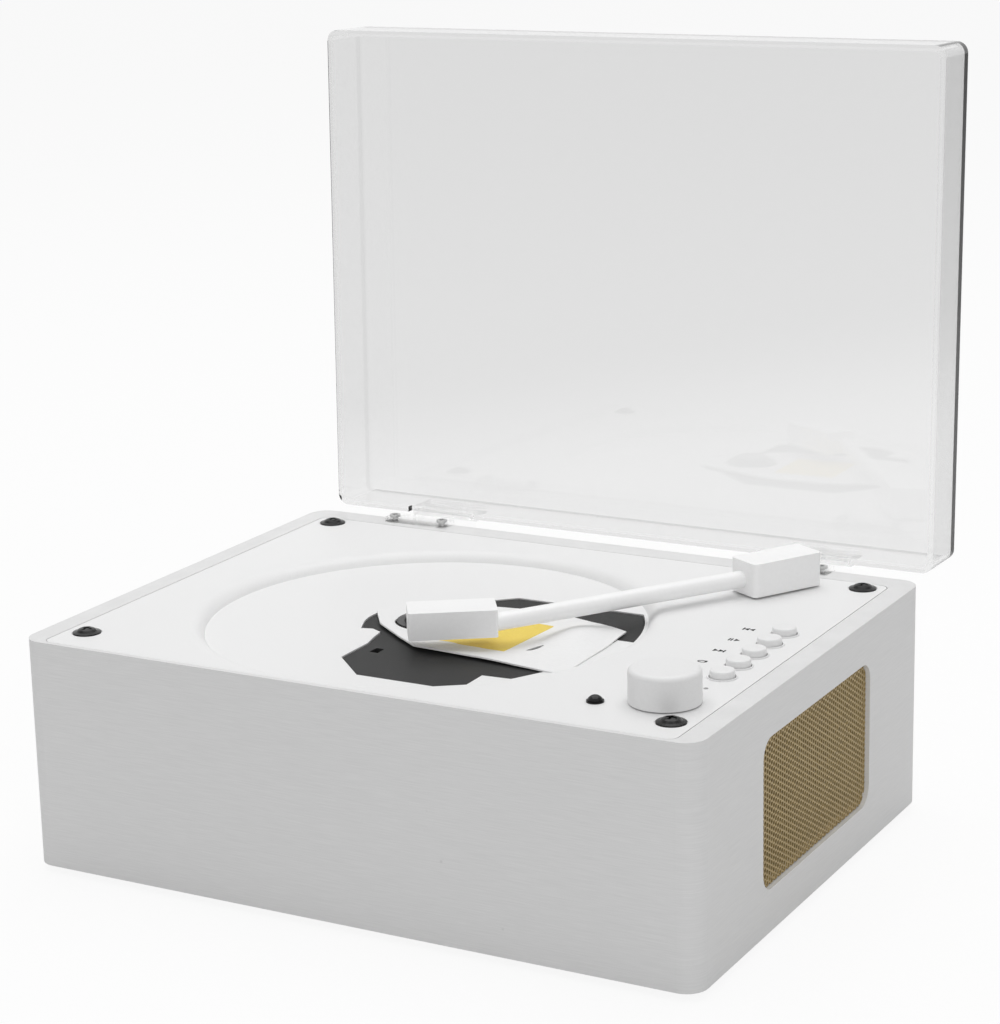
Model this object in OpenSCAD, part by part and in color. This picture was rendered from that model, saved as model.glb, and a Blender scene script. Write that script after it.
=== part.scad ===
// Tabletop disc player in a white wooden case, styled as a small record deck.
// X runs to the right, Y from the front to the back, Z up from the surface that it stands on.
// Every module is written with X centred and Y measured from the case's front face,
// and in_frame() then moves it so that the origin is below the middle of the open player.

/* [Case] */
// Width of the case
case_w = 240; // [200:1:300]
// Depth of the case
case_d = 181; // [150:1:220]
// Height of the case without its feet
case_h = 77; // [70:1:100]
// Radius of the upright corners
case_corner_r = 7; // [3:0.5:10]
// Thickness of the fibreboard walls
board_t = 12; // [10:0.5:15]
// Width of the wooden rim seen beside the top panel
rim_side = 7.7; // [5:0.1:9]
// Width of the rim in front of the top panel
rim_front = 1.5; // [1:0.1:9]
// Width of the rim behind the top panel
rim_back = 9.3; // [6:0.1:11]
// Thickness of the bottom board
base_t = 4; // [3:0.5:6]

/* [Feet] */
// Height of the rubber feet
foot_h = 2.5; // [1.5:0.5:6]
// Radius of a foot
foot_r = 7; // [5:0.5:10]

/* [Top panel] */
// Thickness of the moulded top panel
panel_t = 3; // [2:0.5:4]
// Gap round the panel
panel_gap = 0.3; // [0.3:0.1:1]
// Depth of the disc well
well_depth = 3.4; // [3:0.1:5]
// Radius of the well's flat floor
well_floor_r = 73; // [64:0.1:74]
// Well centre, to the left of the case's middle
well_x = -14.7; // [-20:0.1:-10]
// Well centre, from the case's front face
well_y = 80.2; // [80:0.1:95]
// Distance of the corner screws from the case's sides
screw_inset = 15.3; // [13:0.1:17]

/* [Disc drive] */
// Radius of the black turntable that carries the disc
hub_r = 10; // [9:0.5:14]
// Radius of the boss that centres the disc
boss_r = 7.4; // [7.3:0.05:7.45]
// Radius at which the lens rests, from the spindle
lens_rest_r = 24; // [22:1:26]
// Travel of the pickup sled
sled_travel = 35; // [30:1:36]
// Module of the feed gears
gear_module = 0.6; // [0.5:0.1:0.8]
// Teeth of the feed gear's large wheel
feed_wheel_teeth = 40; // [36:1:44]
// Teeth of the feed gear's small wheel, which drives the rack
feed_pinion_teeth = 14; // [12:1:16]
// Teeth of the motor's pinion
motor_pinion_teeth = 12; // [10:1:14]

/* [Controls] */
// Radius of the volume knob
knob_r = 11.1; // [9:0.1:12]
// Height of the knob over the panel
knob_h = 10.6; // [8:0.1:14]
// Radius of a push button
button_r = 3.9; // [3:0.1:4.5]
// How far a button stands over the panel
button_h = 2.6; // [1.5:0.1:3]
// Travel of a button
button_travel = 0.8; // [0.3:0.1:0.8]
// Distance between the buttons
button_pitch = 12; // [11:0.5:13]

/* [Tonearm] */
// Direction of the arm, from its head to its pivot, in degrees from X
arm_angle = 56.4; // [50:0.1:60]
// Turn of the head against the tube
head_turn = 23.2; // [15:0.1:30]
// Distance from the pivot to the end of the head
arm_reach = 105.8; // [98:0.1:107]
// Radius of the arm's tube
arm_tube_r = 2.9; // [2:0.1:4]
// Height of the tube's axis over the panel
arm_axis_h = 5.6; // [5.2:0.1:7]
// Length, width and height of the pivot block
arm_block = [28, 13.6, 11.4];
// Length, width and height of the head
arm_head = [28.5, 14, 9];

/* [Grilles] */
// Width of a speaker grille
grille_w = 87; // [70:1:100]
// Height of a speaker grille
grille_h = 49; // [40:1:55]
// Corner radius of a grille
grille_r = 6.4; // [3:0.1:10]
// Depth of the mesh behind the case's side
grille_depth = 1.2; // [0.5:0.1:3]

/* [Dust cover] */
// Width of the clear cover
cover_w = 238.4; // [230:0.2:240]
// Length of the cover from front to back
cover_l = 178.6; // [170:0.2:180]
// Height of the cover's walls with its top sheet
cover_h = 21.4; // [18:0.2:30]
// Thickness of the clear sheet
cover_t = 2; // [1.5:0.1:3]
// Corner radius of the cover
cover_r = 4; // [2.5:0.5:8]
// Gap between the closed cover and the case
cover_gap = 0.6; // [0.3:0.1:1.5]
// Angle through which the cover opens
cover_open = 91.3; // [80:0.1:100]
// Distance of the hinge axis behind the case
hinge_back = 5; // [4.5:0.1:7]
// Distance of the hinge axis below the case's top
hinge_drop = 6.8; // [5:0.1:9]
// Distance of each hinge from the case's middle
hinge_x = 75; // [60:1:95]
// Width of a hinge
hinge_w = 26; // [26:1:34]

/* [Hidden] */
$fn = 48;
eps = 0.01;

// Heights
top_z = foot_h + case_h;
panel_under_z = top_z - panel_t;
well_floor_z = top_z - well_depth;
well_skin = 1.6;
well_under_z = well_floor_z - well_skin;
base_top_z = foot_h + base_t;

// Case
inner_x = case_w / 2 - board_t;
pocket_x = case_w / 2 - rim_side;
pocket_y0 = rim_front;
front_gap = 0.15;
pocket_y1 = case_d - rim_back;
panel_corner_r = 3;
post_side = 11;
screw_x = case_w / 2 - screw_inset;
screw_ys = [screw_inset, case_d - screw_inset];
screw_shank_r = 1.5;
base_rebate = 3;

// Well and drive
well_lip = 5.4;
well_lip_r = well_floor_r + sqrt(well_depth * (2 * well_lip - well_depth));
lobe_r = 21.2;
platform_z = well_floor_z - 0.3;
deck_top_z = well_under_z - 0.4;
deck_t = 2.5;
deck_under_z = deck_top_z - deck_t;
deck_x = [well_x - 33, well_x + 77];
deck_y = [well_y - 65, well_y + 45];
deck_mounts = [
    [deck_x[0] + 6, deck_y[0] + 6], [deck_x[1] - 6, deck_y[0] + 6],
    [deck_x[0] + 6, deck_y[1] - 6], [deck_x[1] - 6, deck_y[1] - 6]
];
hub_top_z = well_floor_z + 1.2;
boss_h = 2.2;
spindle_r = 1;
running_gap = 0.05;
rod_r = 1.5;
rod_z = deck_under_z - 7;
rod_ys = [well_y - 17, well_y + 17];
rod_x = [well_x + 4, well_x + 76];
lens_x = well_x + lens_rest_r;
optics_top_z = well_floor_z - 1;
rack_pitch = PI * gear_module;
rack_y = well_y - 25.5;
feed_pinion_r = gear_module * feed_pinion_teeth / 2;
feed_wheel_r = gear_module * feed_wheel_teeth / 2;
motor_pinion_r = gear_module * motor_pinion_teeth / 2;
mesh_gap = 0.12;
feed_gear_x = lens_x + 6;
feed_gear_y = rack_y - feed_pinion_r - mesh_gap;
motor_gear_x = feed_gear_x;
motor_gear_y = feed_gear_y - feed_wheel_r - motor_pinion_r - mesh_gap;
feed_z = rod_z - 3;
wheel_t = 2;

// Controls
knob_x = case_w / 2 - 24.7;
knob_y = 31;
knob_gap = 0.4;
button_x = case_w / 2 - 19;
button_y0 = 59.5;
button_hole_r = button_r + 0.3;
control_board_t = 1.6;
control_board_z = panel_under_z - 7.5;
button_flange_z = panel_under_z - 1.3;
button_stem_z = control_board_z + 4.6 + button_travel;
receiver_x = case_w / 2 - 43.6;
receiver_y = 22.6;
lamp_x = button_x;
lamp_y = button_y0 - button_pitch;
control_mounts = [[74, 40], [74, 108], [90, 52], [90, 112]];

// Tonearm
arm_x = case_w / 2 - 41.3;
arm_y = 153.2;
arm_pin_r = 2.5;
arm_axis_z = top_z + arm_axis_h;
arm_block_z = top_z + 0.75;
arm_block_turn = 3.9;
arm_head_z = top_z + 1.9;
arm_socket = 6;

// Grilles and speakers
grille_y = case_d / 2;
grille_z = foot_h + case_h / 2;
mesh_t = 1;
port_margin = 3;
baffle_t = 3;
baffle_size = [96, 50];
wood_screw_r = 1.3;
speaker_r = 22.5;
speaker_hole_r = 19.5;

// Back sockets
socket_plate_x = 58;
socket_plate_z = foot_h + 24;
socket_plate = [62, 26];
plate_screw_xs = [for (sx = [-1, 1]) socket_plate_x + sx * (socket_plate[0] / 2 - 2.6)];
line_out_x = socket_plate_x + 10;
power_x = socket_plate_x - 12;
power_hole_r = 2.9;

// Dust cover, drawn closed and then opened about the hinge axis
hinge_y = case_d + hinge_back;
hinge_z = top_z - hinge_drop;
cover_z0 = top_z + cover_gap;
cover_y1 = case_d - 1.2;
cover_y0 = cover_y1 - cover_l;
knuckle_r = 3;
hinge_pin_r = 1;
hinge_plate_t = 1.6;
hinge_tab_y = case_d - 6;
leaf_z = top_z + 3.2;
leaf_t = 2;
leaf_l = 13;
knuckle_half = 6;
knuckle_gap = 0.3;
hinge_screw_y = case_d - 3;
hinge_screw_xs = [for (side = [-1, 1], sx = [-1, 1]) side * hinge_x + sx * 10];

// The open cover's rearmost point fixes the middle of the whole player
cover_back_y = hinge_y + (cover_y0 - hinge_y) * cos(cover_open)
    + (cover_z0 + cover_h - hinge_z) * sin(cover_open);
middle_y = cover_back_y / 2;

module in_frame() { translate([0, -middle_y, 0]) children(); }

module opened() {
    translate([0, hinge_y, hinge_z]) rotate([-cover_open, 0, 0]) translate([0, -hinge_y, -hinge_z])
        children();
}

// Block from one corner to the opposite one
module block(low, high) { translate(low) cube(high - low); }

// Upright block with rounded corners, between two heights
module rounded_block(x, y, z, r) {
    block([x[0] + r, y[0], z[0]], [x[1] - r, y[1], z[1]]);
    block([x[0], y[0] + r, z[0]], [x[1], y[1] - r, z[1]]);
    for (cx = [x[0] + r, x[1] - r], cy = [y[0] + r, y[1] - r])
        translate([cx, cy, z[0]]) cylinder(r = r, h = z[1] - z[0]);
}

// Plate that lies across X, rounded in the YZ plane
module side_plate(x0, x1, w, h, r) {
    translate([x0, grille_y, grille_z]) rotate([90, 0, 90])
        rounded_block([-w / 2, w / 2], [-h / 2, h / 2], [0, x1 - x0], r);
}

// Cross-recess screw with a washer head, pointing down from the origin
module washer_screw(head_r, shank_r, length) {
    difference() {
        union() {
            rotate_extrude() polygon([
                [0, 0], [head_r, 0], [head_r, 0.6], [head_r * 0.74, 0.9],
                [head_r * 0.6, 1.5], [head_r * 0.35, 1.9], [0, 2]
            ]);
            translate([0, 0, -length]) cylinder(r = shank_r, h = length + eps);
        }
        for (turn = [0, 90]) rotate([0, 0, turn])
            block([-head_r * 0.4, -0.45, 0.8], [head_r * 0.4, 0.45, 3]);
    }
}

// Outline of a spur gear, with involute flanks and a little backlash
function involute(base_r, r) = let(t = sqrt(max(0, pow(r / base_r, 2) - 1)))
    t * 180 / PI - atan(t);
function flank_angle(teeth, r) = let(
        pitch_r = gear_module * teeth / 2,
        base_r = pitch_r * cos(20),
        half = 90 / teeth * 0.86)
    half + involute(base_r, pitch_r) - involute(base_r, max(r, base_r));
function gear_points(teeth) = let(
        pitch_r = gear_module * teeth / 2,
        root_r = pitch_r - 1.2 * gear_module,
        tip_r = pitch_r + 0.9 * gear_module,
        steps = [root_r, pitch_r - 0.35 * gear_module, pitch_r + 0.3 * gear_module, tip_r])
    [for (i = [0 : teeth - 1]) let(mid = 360 / teeth * i) each concat(
        [for (r = steps) let(a = mid - flank_angle(teeth, r)) r * [cos(a), sin(a)]],
        [for (k = [3 : -1 : 0]) let(r = steps[k], a = mid + flank_angle(teeth, r))
            r * [cos(a), sin(a)]]
    )];

module gear_wheel(teeth, thickness) { linear_extrude(thickness) polygon(gear_points(teeth)); }

// Case

module board_outline() {
    difference() {
        rounded_block([-case_w / 2, case_w / 2], [0, case_d], [foot_h, top_z], case_corner_r);
        rounded_block([-pocket_x, pocket_x], [pocket_y0, pocket_y1],
            [panel_under_z, top_z + 1], panel_corner_r + panel_gap);
        translate([well_x, well_y, well_under_z - 0.3])
            cylinder(r = well_floor_r + 3.3, h = well_depth + 5, $fn = 96);
        block([-inner_x - base_rebate, board_t - base_rebate, foot_h - 1],
            [inner_x + base_rebate, case_d - board_t + base_rebate, base_top_z]);
    }
}

module front_board() {
    color("white") intersection() {
        board_outline();
        block([-inner_x, -1, 0], [inner_x, board_t, top_z + 1]);
    }
}

module back_board() {
    color("white") difference() {
        intersection() {
            board_outline();
            block([-inner_x, case_d - board_t, 0], [inner_x, case_d + 1, top_z + 1]);
        }
        block([socket_plate_x - socket_plate[0] / 2, case_d - 1.5, socket_plate_z - socket_plate[1] / 2],
            [socket_plate_x + socket_plate[0] / 2, case_d + 1, socket_plate_z + socket_plate[1] / 2]);
        block([socket_plate_x - socket_plate[0] / 2 + 5, case_d - board_t - 1,
            socket_plate_z - socket_plate[1] / 2 + 3],
            [socket_plate_x + socket_plate[0] / 2 - 5, case_d + 1,
            socket_plate_z + socket_plate[1] / 2 - 3]);
        for (x = plate_screw_xs) translate([x, case_d + 1, socket_plate_z]) rotate([90, 0, 0])
            cylinder(r = 1.2, h = 11);
        for (x = hinge_screw_xs) translate([x, hinge_screw_y, top_z - 9]) cylinder(r = 1.05, h = 10);
    }
}

module side_board() {
    difference() {
        intersection() {
            board_outline();
            block([inner_x, -1, 0], [case_w / 2 + 1, case_d + 1, top_z + 1]);
        }
        side_plate(case_w / 2 - grille_depth - mesh_t, case_w / 2 + 1, grille_w, grille_h, grille_r);
        side_plate(inner_x - 1, case_w / 2 + 1, grille_w - 2 * port_margin,
            grille_h - 2 * port_margin, grille_r - port_margin);
        for (spot = baffle_screw_spots) translate([inner_x - 1, spot[0], spot[1]])
            rotate([0, 90, 0]) cylinder(r = wood_screw_r + 0.05, h = 9);
    }
}

module side_boards() {
    color("white") for (side = [0, 1]) mirror([side, 0, 0]) side_board();
}

module corner_posts() {
    color("tan") for (sx = [-1, 1], back = [0, 1]) {
        x = sx * (inner_x - post_side / 2);
        y = back == 1 ? case_d - board_t - post_side / 2 : board_t + post_side / 2;
        difference() {
            block([x - post_side / 2, y - post_side / 2, base_top_z],
                [x + post_side / 2, y + post_side / 2, panel_under_z]);
            translate([sx * screw_x, screw_ys[back], panel_under_z - 12])
                cylinder(r = screw_shank_r + 0.05, h = 13);
            translate([x, y, base_top_z - 1]) cylinder(r = wood_screw_r + 0.05, h = 10);
        }
    }
}

base_screw_x = inner_x - post_side / 2;
base_screw_ys = [board_t + post_side / 2, case_d - board_t - post_side / 2];
baffle_screw_spots = [for (y = [-43, 43], z = [-20, 20]) [grille_y + y, grille_z + z]];

module bottom_board() {
    color("dimgray") difference() {
        block([-inner_x - base_rebate + 0.3, board_t - base_rebate + 0.3, foot_h],
            [inner_x + base_rebate - 0.3, case_d - board_t + base_rebate - 0.3, base_top_z]);
        for (x = [-base_screw_x, base_screw_x], y = base_screw_ys) translate([x, y, foot_h - 1]) {
            cylinder(r = wood_screw_r + 0.2, h = base_t + 2);
            cylinder(r = 3.2, h = 2.6);
        }
        for (i = [-4 : 4]) block([i * 7 - 1.5, 52, foot_h - 1], [i * 7 + 1.5, 84, base_top_z + 1]);
    }
}

// Pan-head wood screw that points up from the origin
module wood_screw() {
    difference() {
        union() {
            translate([0, 0, -1.4]) cylinder(r = 2.8, h = 1.4);
            translate([0, 0, -0.1]) cylinder(r = wood_screw_r, h = 9.6);
            translate([0, 0, 9.4]) cylinder(r1 = wood_screw_r, r2 = 0.2, h = 1.6);
        }
        for (turn = [0, 90]) rotate([0, 0, turn]) block([-1.6, -0.4, -2], [1.6, 0.4, -0.6]);
    }
}

// Screws of the bottom board and of the speaker baffles
module wood_screws() {
    color("silver") {
        for (x = [-base_screw_x, base_screw_x], y = base_screw_ys)
            translate([x, y, foot_h + 1.6]) wood_screw();
        for (sx = [-1, 1], spot = baffle_screw_spots)
            translate([sx * (inner_x - baffle_t), spot[0], spot[1]]) rotate([0, sx * 90, 0])
                wood_screw();
    }
}

module rubber_feet() {
    color("black") for (x = [-92, 92], y = [27, case_d - 27]) translate([x, y, 0])
        rotate_extrude() polygon([
            [0, 0.4], [foot_r * 0.45, 0.4], [foot_r * 0.5, 0], [foot_r - 0.8, 0],
            [foot_r - 0.3, 0.4], [foot_r, foot_h], [0, foot_h]
        ]);
}

// Top panel with the disc well and the opening over the disc drive

// The well is turned about its axis: a lip that rolls down to a flat floor
module well_cavity() {
    translate([well_x, well_y, well_floor_z]) rotate_extrude($fn = 96) {
        square([well_floor_r, well_depth + 1]);
        difference() {
            square([well_lip_r, well_depth + 1]);
            translate([well_lip_r, well_depth - well_lip]) circle(r = well_lip);
        }
    }
}

module drive_opening(z0, z1) {
    translate([well_x, 0, z0]) intersection() {
        union() {
            linear_extrude(z1 - z0) polygon([
                [-6.5, 37], [7.5, 23.5], [35, 23.5], [43.5, 29.3], [43.4, 39.3], [53.3, 39.9],
                [59.9, 51.7], [65.5, 63], [65.5, 89.2], [75, 89.2], [75, 118.2], [14, 118.2],
                [9, 113.7], [-6.5, 99], [-6.5, 73.2], [-20, 73.2], [-17, 66.2], [-13, 67.2],
                [-9, 65.2], [-8, 59.2], [-6.5, 53.2]
            ]);
            intersection() {
                translate([0, well_y, 0]) cylinder(r = lobe_r, h = z1 - z0);
                block([-lobe_r - 1, 73.2, -1], [lobe_r, well_y + lobe_r, z1 - z0 + 1]);
            }
        }
        translate([0, well_y, -1]) cylinder(r = well_floor_r - 1.2, h = z1 - z0 + 2, $fn = 96);
    }
}

// Same outline, drawn in by a small gap on all sides
module inside_opening(z0, z1, gap) {
    intersection() {
        translate([gap, 0, 0]) drive_opening(z0, z1);
        translate([-gap, 0, 0]) drive_opening(z0, z1);
        translate([0, gap, 0]) drive_opening(z0, z1);
        translate([0, -gap, 0]) drive_opening(z0, z1);
    }
}

module top_panel() {
    color("white") difference() {
        union() {
            rounded_block([-pocket_x + panel_gap, pocket_x - panel_gap],
                [pocket_y0 + front_gap, pocket_y1 - panel_gap], [panel_under_z, top_z],
                panel_corner_r);
            translate([well_x, well_y, well_under_z])
                cylinder(r = well_floor_r + 3, h = panel_under_z - well_under_z + 1, $fn = 96);
            for (spot = deck_mounts) translate([spot[0], spot[1], deck_under_z - 1.5])
                cylinder(r = 3, h = panel_under_z - deck_under_z + 2);
            for (spot = control_mounts) translate([spot[0], spot[1], control_board_z])
                cylinder(r = 3, h = panel_under_z - control_board_z + 1);
        }
        well_cavity();
        drive_opening(well_under_z - 1, well_floor_z + 1);
        for (x = [-screw_x, screw_x], y = screw_ys) translate([x, y, panel_under_z - 1]) {
            cylinder(r = screw_shank_r + 0.3, h = panel_t + 2);
            translate([0, 0, panel_t + 0.7]) cylinder(r = 4.9, h = 2);
        }
        translate([knob_x, knob_y, panel_under_z - 1]) cylinder(r = 3.7, h = panel_t + 2);
        for (i = [0 : 4]) translate([button_x, button_y0 + i * button_pitch, panel_under_z - 1])
            cylinder(r = button_hole_r, h = panel_t + 2);
        translate([receiver_x, receiver_y, panel_under_z - 1]) cylinder(r = 2.4, h = panel_t + 2);
        translate([lamp_x, lamp_y, panel_under_z - 1]) cylinder(r = 0.8, h = panel_t + 2);
        translate([arm_x, arm_y, panel_under_z - 1]) cylinder(r = 2.6, h = panel_t + 2);
        for (spot = deck_mounts) translate([spot[0], spot[1], deck_under_z - 3])
            cylinder(r = 1.1, h = 6.5);
        for (spot = control_mounts) translate([spot[0], spot[1], control_board_z - 1])
            cylinder(r = 1, h = 6);
    }
}

module panel_screws() {
    color("black") for (x = [-screw_x, screw_x], y = screw_ys)
        translate([x, y, top_z - 0.3]) washer_screw(4.6, screw_shank_r, panel_t + 8);
}

// Speakers behind the side grilles

module side_grilles() {
    color("goldenrod") for (side = [0, 1]) mirror([side, 0, 0])
        side_plate(case_w / 2 - grille_depth - mesh_t, case_w / 2 - grille_depth,
            grille_w - 0.4, grille_h - 0.4, grille_r - 0.2);
}

module at_speaker(side) {
    mirror([side < 0 ? 1 : 0, 0, 0])
        translate([inner_x - baffle_t, grille_y, grille_z]) rotate([0, -90, 0]) children();
}

module speaker_baffles() {
    color("black") for (side = [-1, 1]) at_speaker(side) difference() {
        rounded_block([-baffle_size[1] / 2, baffle_size[1] / 2],
            [-baffle_size[0] / 2, baffle_size[0] / 2], [-baffle_t, 0], 3);
        translate([0, 0, -baffle_t - 1]) cylinder(r = speaker_hole_r, h = baffle_t + 2);
        for (sx = [-1, 1], sy = [-1, 1]) translate([sx * 20, sy * 43, -baffle_t - 1])
            cylinder(r = wood_screw_r + 0.2, h = baffle_t + 2);
    }
}

module speaker_basket() {
    difference() {
        rotate_extrude() polygon([
            [speaker_hole_r - 1, 0], [speaker_r, 0], [speaker_r, 1.4], [speaker_r - 2, 1.6],
            [14.6, 12], [14.6, 14], [6.6, 14], [6.6, 12.8], [13.2, 12.8], [19.2, 1.4],
            [speaker_hole_r - 1, 1.2]
        ]);
        for (turn = [0 : 90 : 270]) rotate([0, 0, turn + 45]) translate([16, 0, 6])
            rotate([0, 90, 0]) cylinder(r = 2.4, h = 8, center = true);
    }
}

module speaker_cone() {
    rotate_extrude() polygon([
        [0, 3.2], [3.2, 3.8], [5.6, 5.8], [16, -0.2], [17, -1.4], [18.2, -1.4], [19, -0.02],
        [18.2, -0.02], [17.8, -0.9], [17.3, -0.9], [16.3, 0.5], [6, 7], [4.8, 6.4], [3, 4.6],
        [0, 4]
    ]);
}

module speaker_baskets() { color("dimgray") for (side = [-1, 1]) at_speaker(side) speaker_basket(); }

module speaker_cones() { color("black") for (side = [-1, 1]) at_speaker(side) speaker_cone(); }

module speaker_magnets() {
    color("gray") for (side = [-1, 1]) at_speaker(side) difference() {
        translate([0, 0, 14]) cylinder(r = 15, h = 7);
        translate([0, 0, 13]) cylinder(r = 5, h = 6);
    }
}

// Back sockets

module rear_socket_plate() {
    color("black") difference() {
        block([socket_plate_x - socket_plate[0] / 2 + 0.2, case_d - 1.5,
            socket_plate_z - socket_plate[1] / 2 + 0.2],
            [socket_plate_x + socket_plate[0] / 2 - 0.2, case_d,
            socket_plate_z + socket_plate[1] / 2 - 0.2]);
        translate([power_x, case_d + 1, socket_plate_z]) rotate([90, 0, 0])
            cylinder(r = power_hole_r + 1.3, h = 4);
        translate([line_out_x, case_d + 1, socket_plate_z]) rotate([90, 0, 0])
            cylinder(r = 3.1, h = 4);
        for (x = plate_screw_xs) translate([x, case_d + 1, socket_plate_z]) rotate([90, 0, 0])
            cylinder(r = 1.3, h = 4);
    }
}

module rear_plate_screws() {
    color("black") for (x = plate_screw_xs) translate([x, case_d, socket_plate_z])
        rotate([-90, 0, 0]) washer_screw(2.2, 1.15, 8);
}

module power_inlet() {
    translate([power_x, case_d, socket_plate_z]) rotate([90, 0, 0]) {
        color("black") difference() {
            union() {
                cylinder(r = power_hole_r + 1.1, h = 2);
                block([-4.5, -5.5, 1.5], [4.5, 5.5, 14]);
            }
            translate([0, 0, -1]) cylinder(r = power_hole_r, h = 11);
        }
        color("silver") {
            translate([0, 0, 1.5]) cylinder(r = 1, h = 9);
            translate([0, 0, 1]) sphere(r = 1, $fn = 24);
        }
    }
}

module line_out_socket() {
    color("black") translate([line_out_x, case_d, socket_plate_z]) rotate([90, 0, 0])
        difference() {
            union() {
                cylinder(r = 3, h = 2);
                block([-5, -4, 1.5], [5, 4, 14]);
            }
            translate([0, 0, -1]) cylinder(r = 1.8, h = 13);
        }
}

// Electronics

main_x = [-40, 60];
main_y = [100, 150];
main_z = base_top_z + 5;
main_mounts = [for (x = [main_x[0] + 4, main_x[1] - 4], y = [main_y[0] + 4, main_y[1] - 4]) [x, y]];

module main_board() {
    color("darkgreen") difference() {
        block([main_x[0], main_y[0], main_z], [main_x[1], main_y[1], main_z + 1.6]);
        for (spot = main_mounts) translate([spot[0], spot[1], main_z - 1]) cylinder(r = 1.6, h = 4);
    }
}

module board_spacers() {
    color("silver") for (spot = main_mounts) translate([spot[0], spot[1], base_top_z]) {
        cylinder(r = 3, h = main_z - base_top_z, $fn = 6);
        cylinder(r = 1.5, h = main_z - base_top_z + 2);
        translate([0, 0, main_z - base_top_z + 1.65]) cylinder(r = 2.8, h = 1.6);
    }
}

module main_board_parts() {
    z = main_z + 1.6;
    color("black") {
        block([-22, 118, z], [-8, 132, z + 1.6]);
        block([14, 110, z], [24, 116, z + 1.8]);
        block([30, 122, z], [44, 127, z + 5]);
        block([-30, 104, z], [-18, 109, z + 6]);
    }
    color("silver") for (spot = [[4, 140, 5, 11], [18, 138, 5, 11], [34, 140, 4, 9], [-28, 140, 4, 9]])
        translate([spot[0], spot[1], z]) cylinder(r = spot[2], h = spot[3]);
}

module control_board() {
    color("darkgreen") difference() {
        union() {
            block([69, 24, control_board_z - control_board_t], [inner_x - 1, 117, control_board_z]);
            block([69, 15, control_board_z - control_board_t], [88, 24.01, control_board_z]);
        }
        for (spot = control_mounts) translate([spot[0], spot[1], control_board_z - 3])
            cylinder(r = 1.2, h = 6);
    }
}

module control_board_screws() {
    color("silver") for (spot = control_mounts)
        translate([spot[0], spot[1], control_board_z - control_board_t]) {
            translate([0, 0, -1.4]) cylinder(r = 2.2, h = 1.38);
            translate([0, 0, -0.5]) cylinder(r = 1, h = 6);
        }
}

module button_switches() {
    color("silver") for (i = [0 : 4])
        translate([button_x, button_y0 + i * button_pitch, control_board_z]) {
            block([-3, -3, 0], [3, 3, 3.2]);
            cylinder(r = 1.7, h = 4.2);
        }
}

module push_button(i) {
    translate([button_x, button_y0 + i * button_pitch, 0]) rotate_extrude() polygon([
        [0, button_stem_z], [1.8, button_stem_z], [1.8, button_flange_z],
        [button_r + 1.3, button_flange_z], [button_r + 1.3, button_flange_z + 1],
        [button_r, button_flange_z + 1], [button_r, top_z + button_h - 0.5],
        [button_r - 0.15, top_z + button_h - 0.15], [button_r - 0.5, top_z + button_h],
        [0, top_z + button_h - 0.15]
    ]);
}

module button_power() { color("white") push_button(0); }

module button_mode() { color("white") push_button(1); }

module button_next() { color("white") push_button(2); }

module button_play() { color("white") push_button(3); }

module button_previous() { color("white") push_button(4); }

module volume_knob() {
    z0 = top_z + knob_gap;
    z1 = top_z + knob_gap + knob_h;
    color("white") translate([knob_x, knob_y, 0]) difference() {
        union() {
            translate([0, 0, z0]) cylinder(r = knob_r, h = knob_h - 1.6, $fn = 96);
            translate([0, 0, z0]) cylinder(r = knob_r - 1.6, h = knob_h, $fn = 96);
            translate([0, 0, z1 - 1.6]) rotate_extrude($fn = 96) translate([knob_r - 1.6, 0])
                intersection() {
                    circle(r = 1.6, $fn = 32);
                    translate([-1, -0.5]) square(4);
                }
        }
        translate([0, 0, z0 - 1]) cylinder(r = 7.5, h = 4);
        translate([0, 0, z0 - 1]) cylinder(r = 2.8, h = knob_h - 1.1);
    }
}

module encoder_shaft() {
    color("silver") translate([knob_x, knob_y, 0]) {
        translate([0, 0, panel_under_z - 3]) cylinder(r = 2.8, h = 5.4);
        translate([0, 0, top_z - 0.7]) cylinder(r = 2.8, h = knob_gap + knob_h - 1.4);
    }
}

module encoder_body() {
    color("dimgray") translate([knob_x, knob_y, 0]) difference() {
        union() {
            block([-6, -6, control_board_z], [6, 6, control_board_z + 6]);
            translate([0, 0, control_board_z + 5])
                cylinder(r = 3.5, h = top_z + 1.8 - control_board_z - 5);
        }
        translate([0, 0, panel_under_z - 3.3]) cylinder(r = 2.85, h = 12);
    }
}

module encoder_nut() {
    color("silver") translate([knob_x, knob_y, top_z + 0.02]) difference() {
        cylinder(r = 5.4, h = 1.6, $fn = 6);
        translate([0, 0, -1]) cylinder(r = 3.53, h = 4);
    }
}

module remote_receiver() {
    color("black") translate([receiver_x, receiver_y, 0]) {
        block([-3.6, -2.6, control_board_z], [3.6, 2.6, control_board_z + 4]);
        translate([0, 0, control_board_z + 3.9])
            cylinder(r = 2.3, h = top_z + 0.9 - control_board_z - 3.9);
        translate([0, 0, top_z]) cylinder(r = 2.75, h = 0.5);
        intersection() {
            translate([0, 0, top_z - 0.485]) sphere(r = 2.685);
            translate([0, 0, top_z + 0.8]) cylinder(r = 2.3, h = 3);
        }
    }
}

module status_lamp() {
    color("dimgray") translate([lamp_x, lamp_y, control_board_z])
        cylinder(r = 0.7, h = top_z + 0.1 - control_board_z, $fn = 24);
}

// Tonearm, drawn along X from its pivot and then turned to its rest direction

module on_arm() { translate([arm_x, arm_y, 0]) rotate([0, 0, arm_angle + 180]) children(); }

module arm_pivot_post() {
    color("silver") translate([arm_x, arm_y, 0]) {
        translate([0, 0, panel_under_z - 4]) cylinder(r = arm_pin_r, h = 13.5);
        translate([0, 0, panel_under_z - 2.4]) cylinder(r = 5, h = 2.4, $fn = 6);
    }
}

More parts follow.
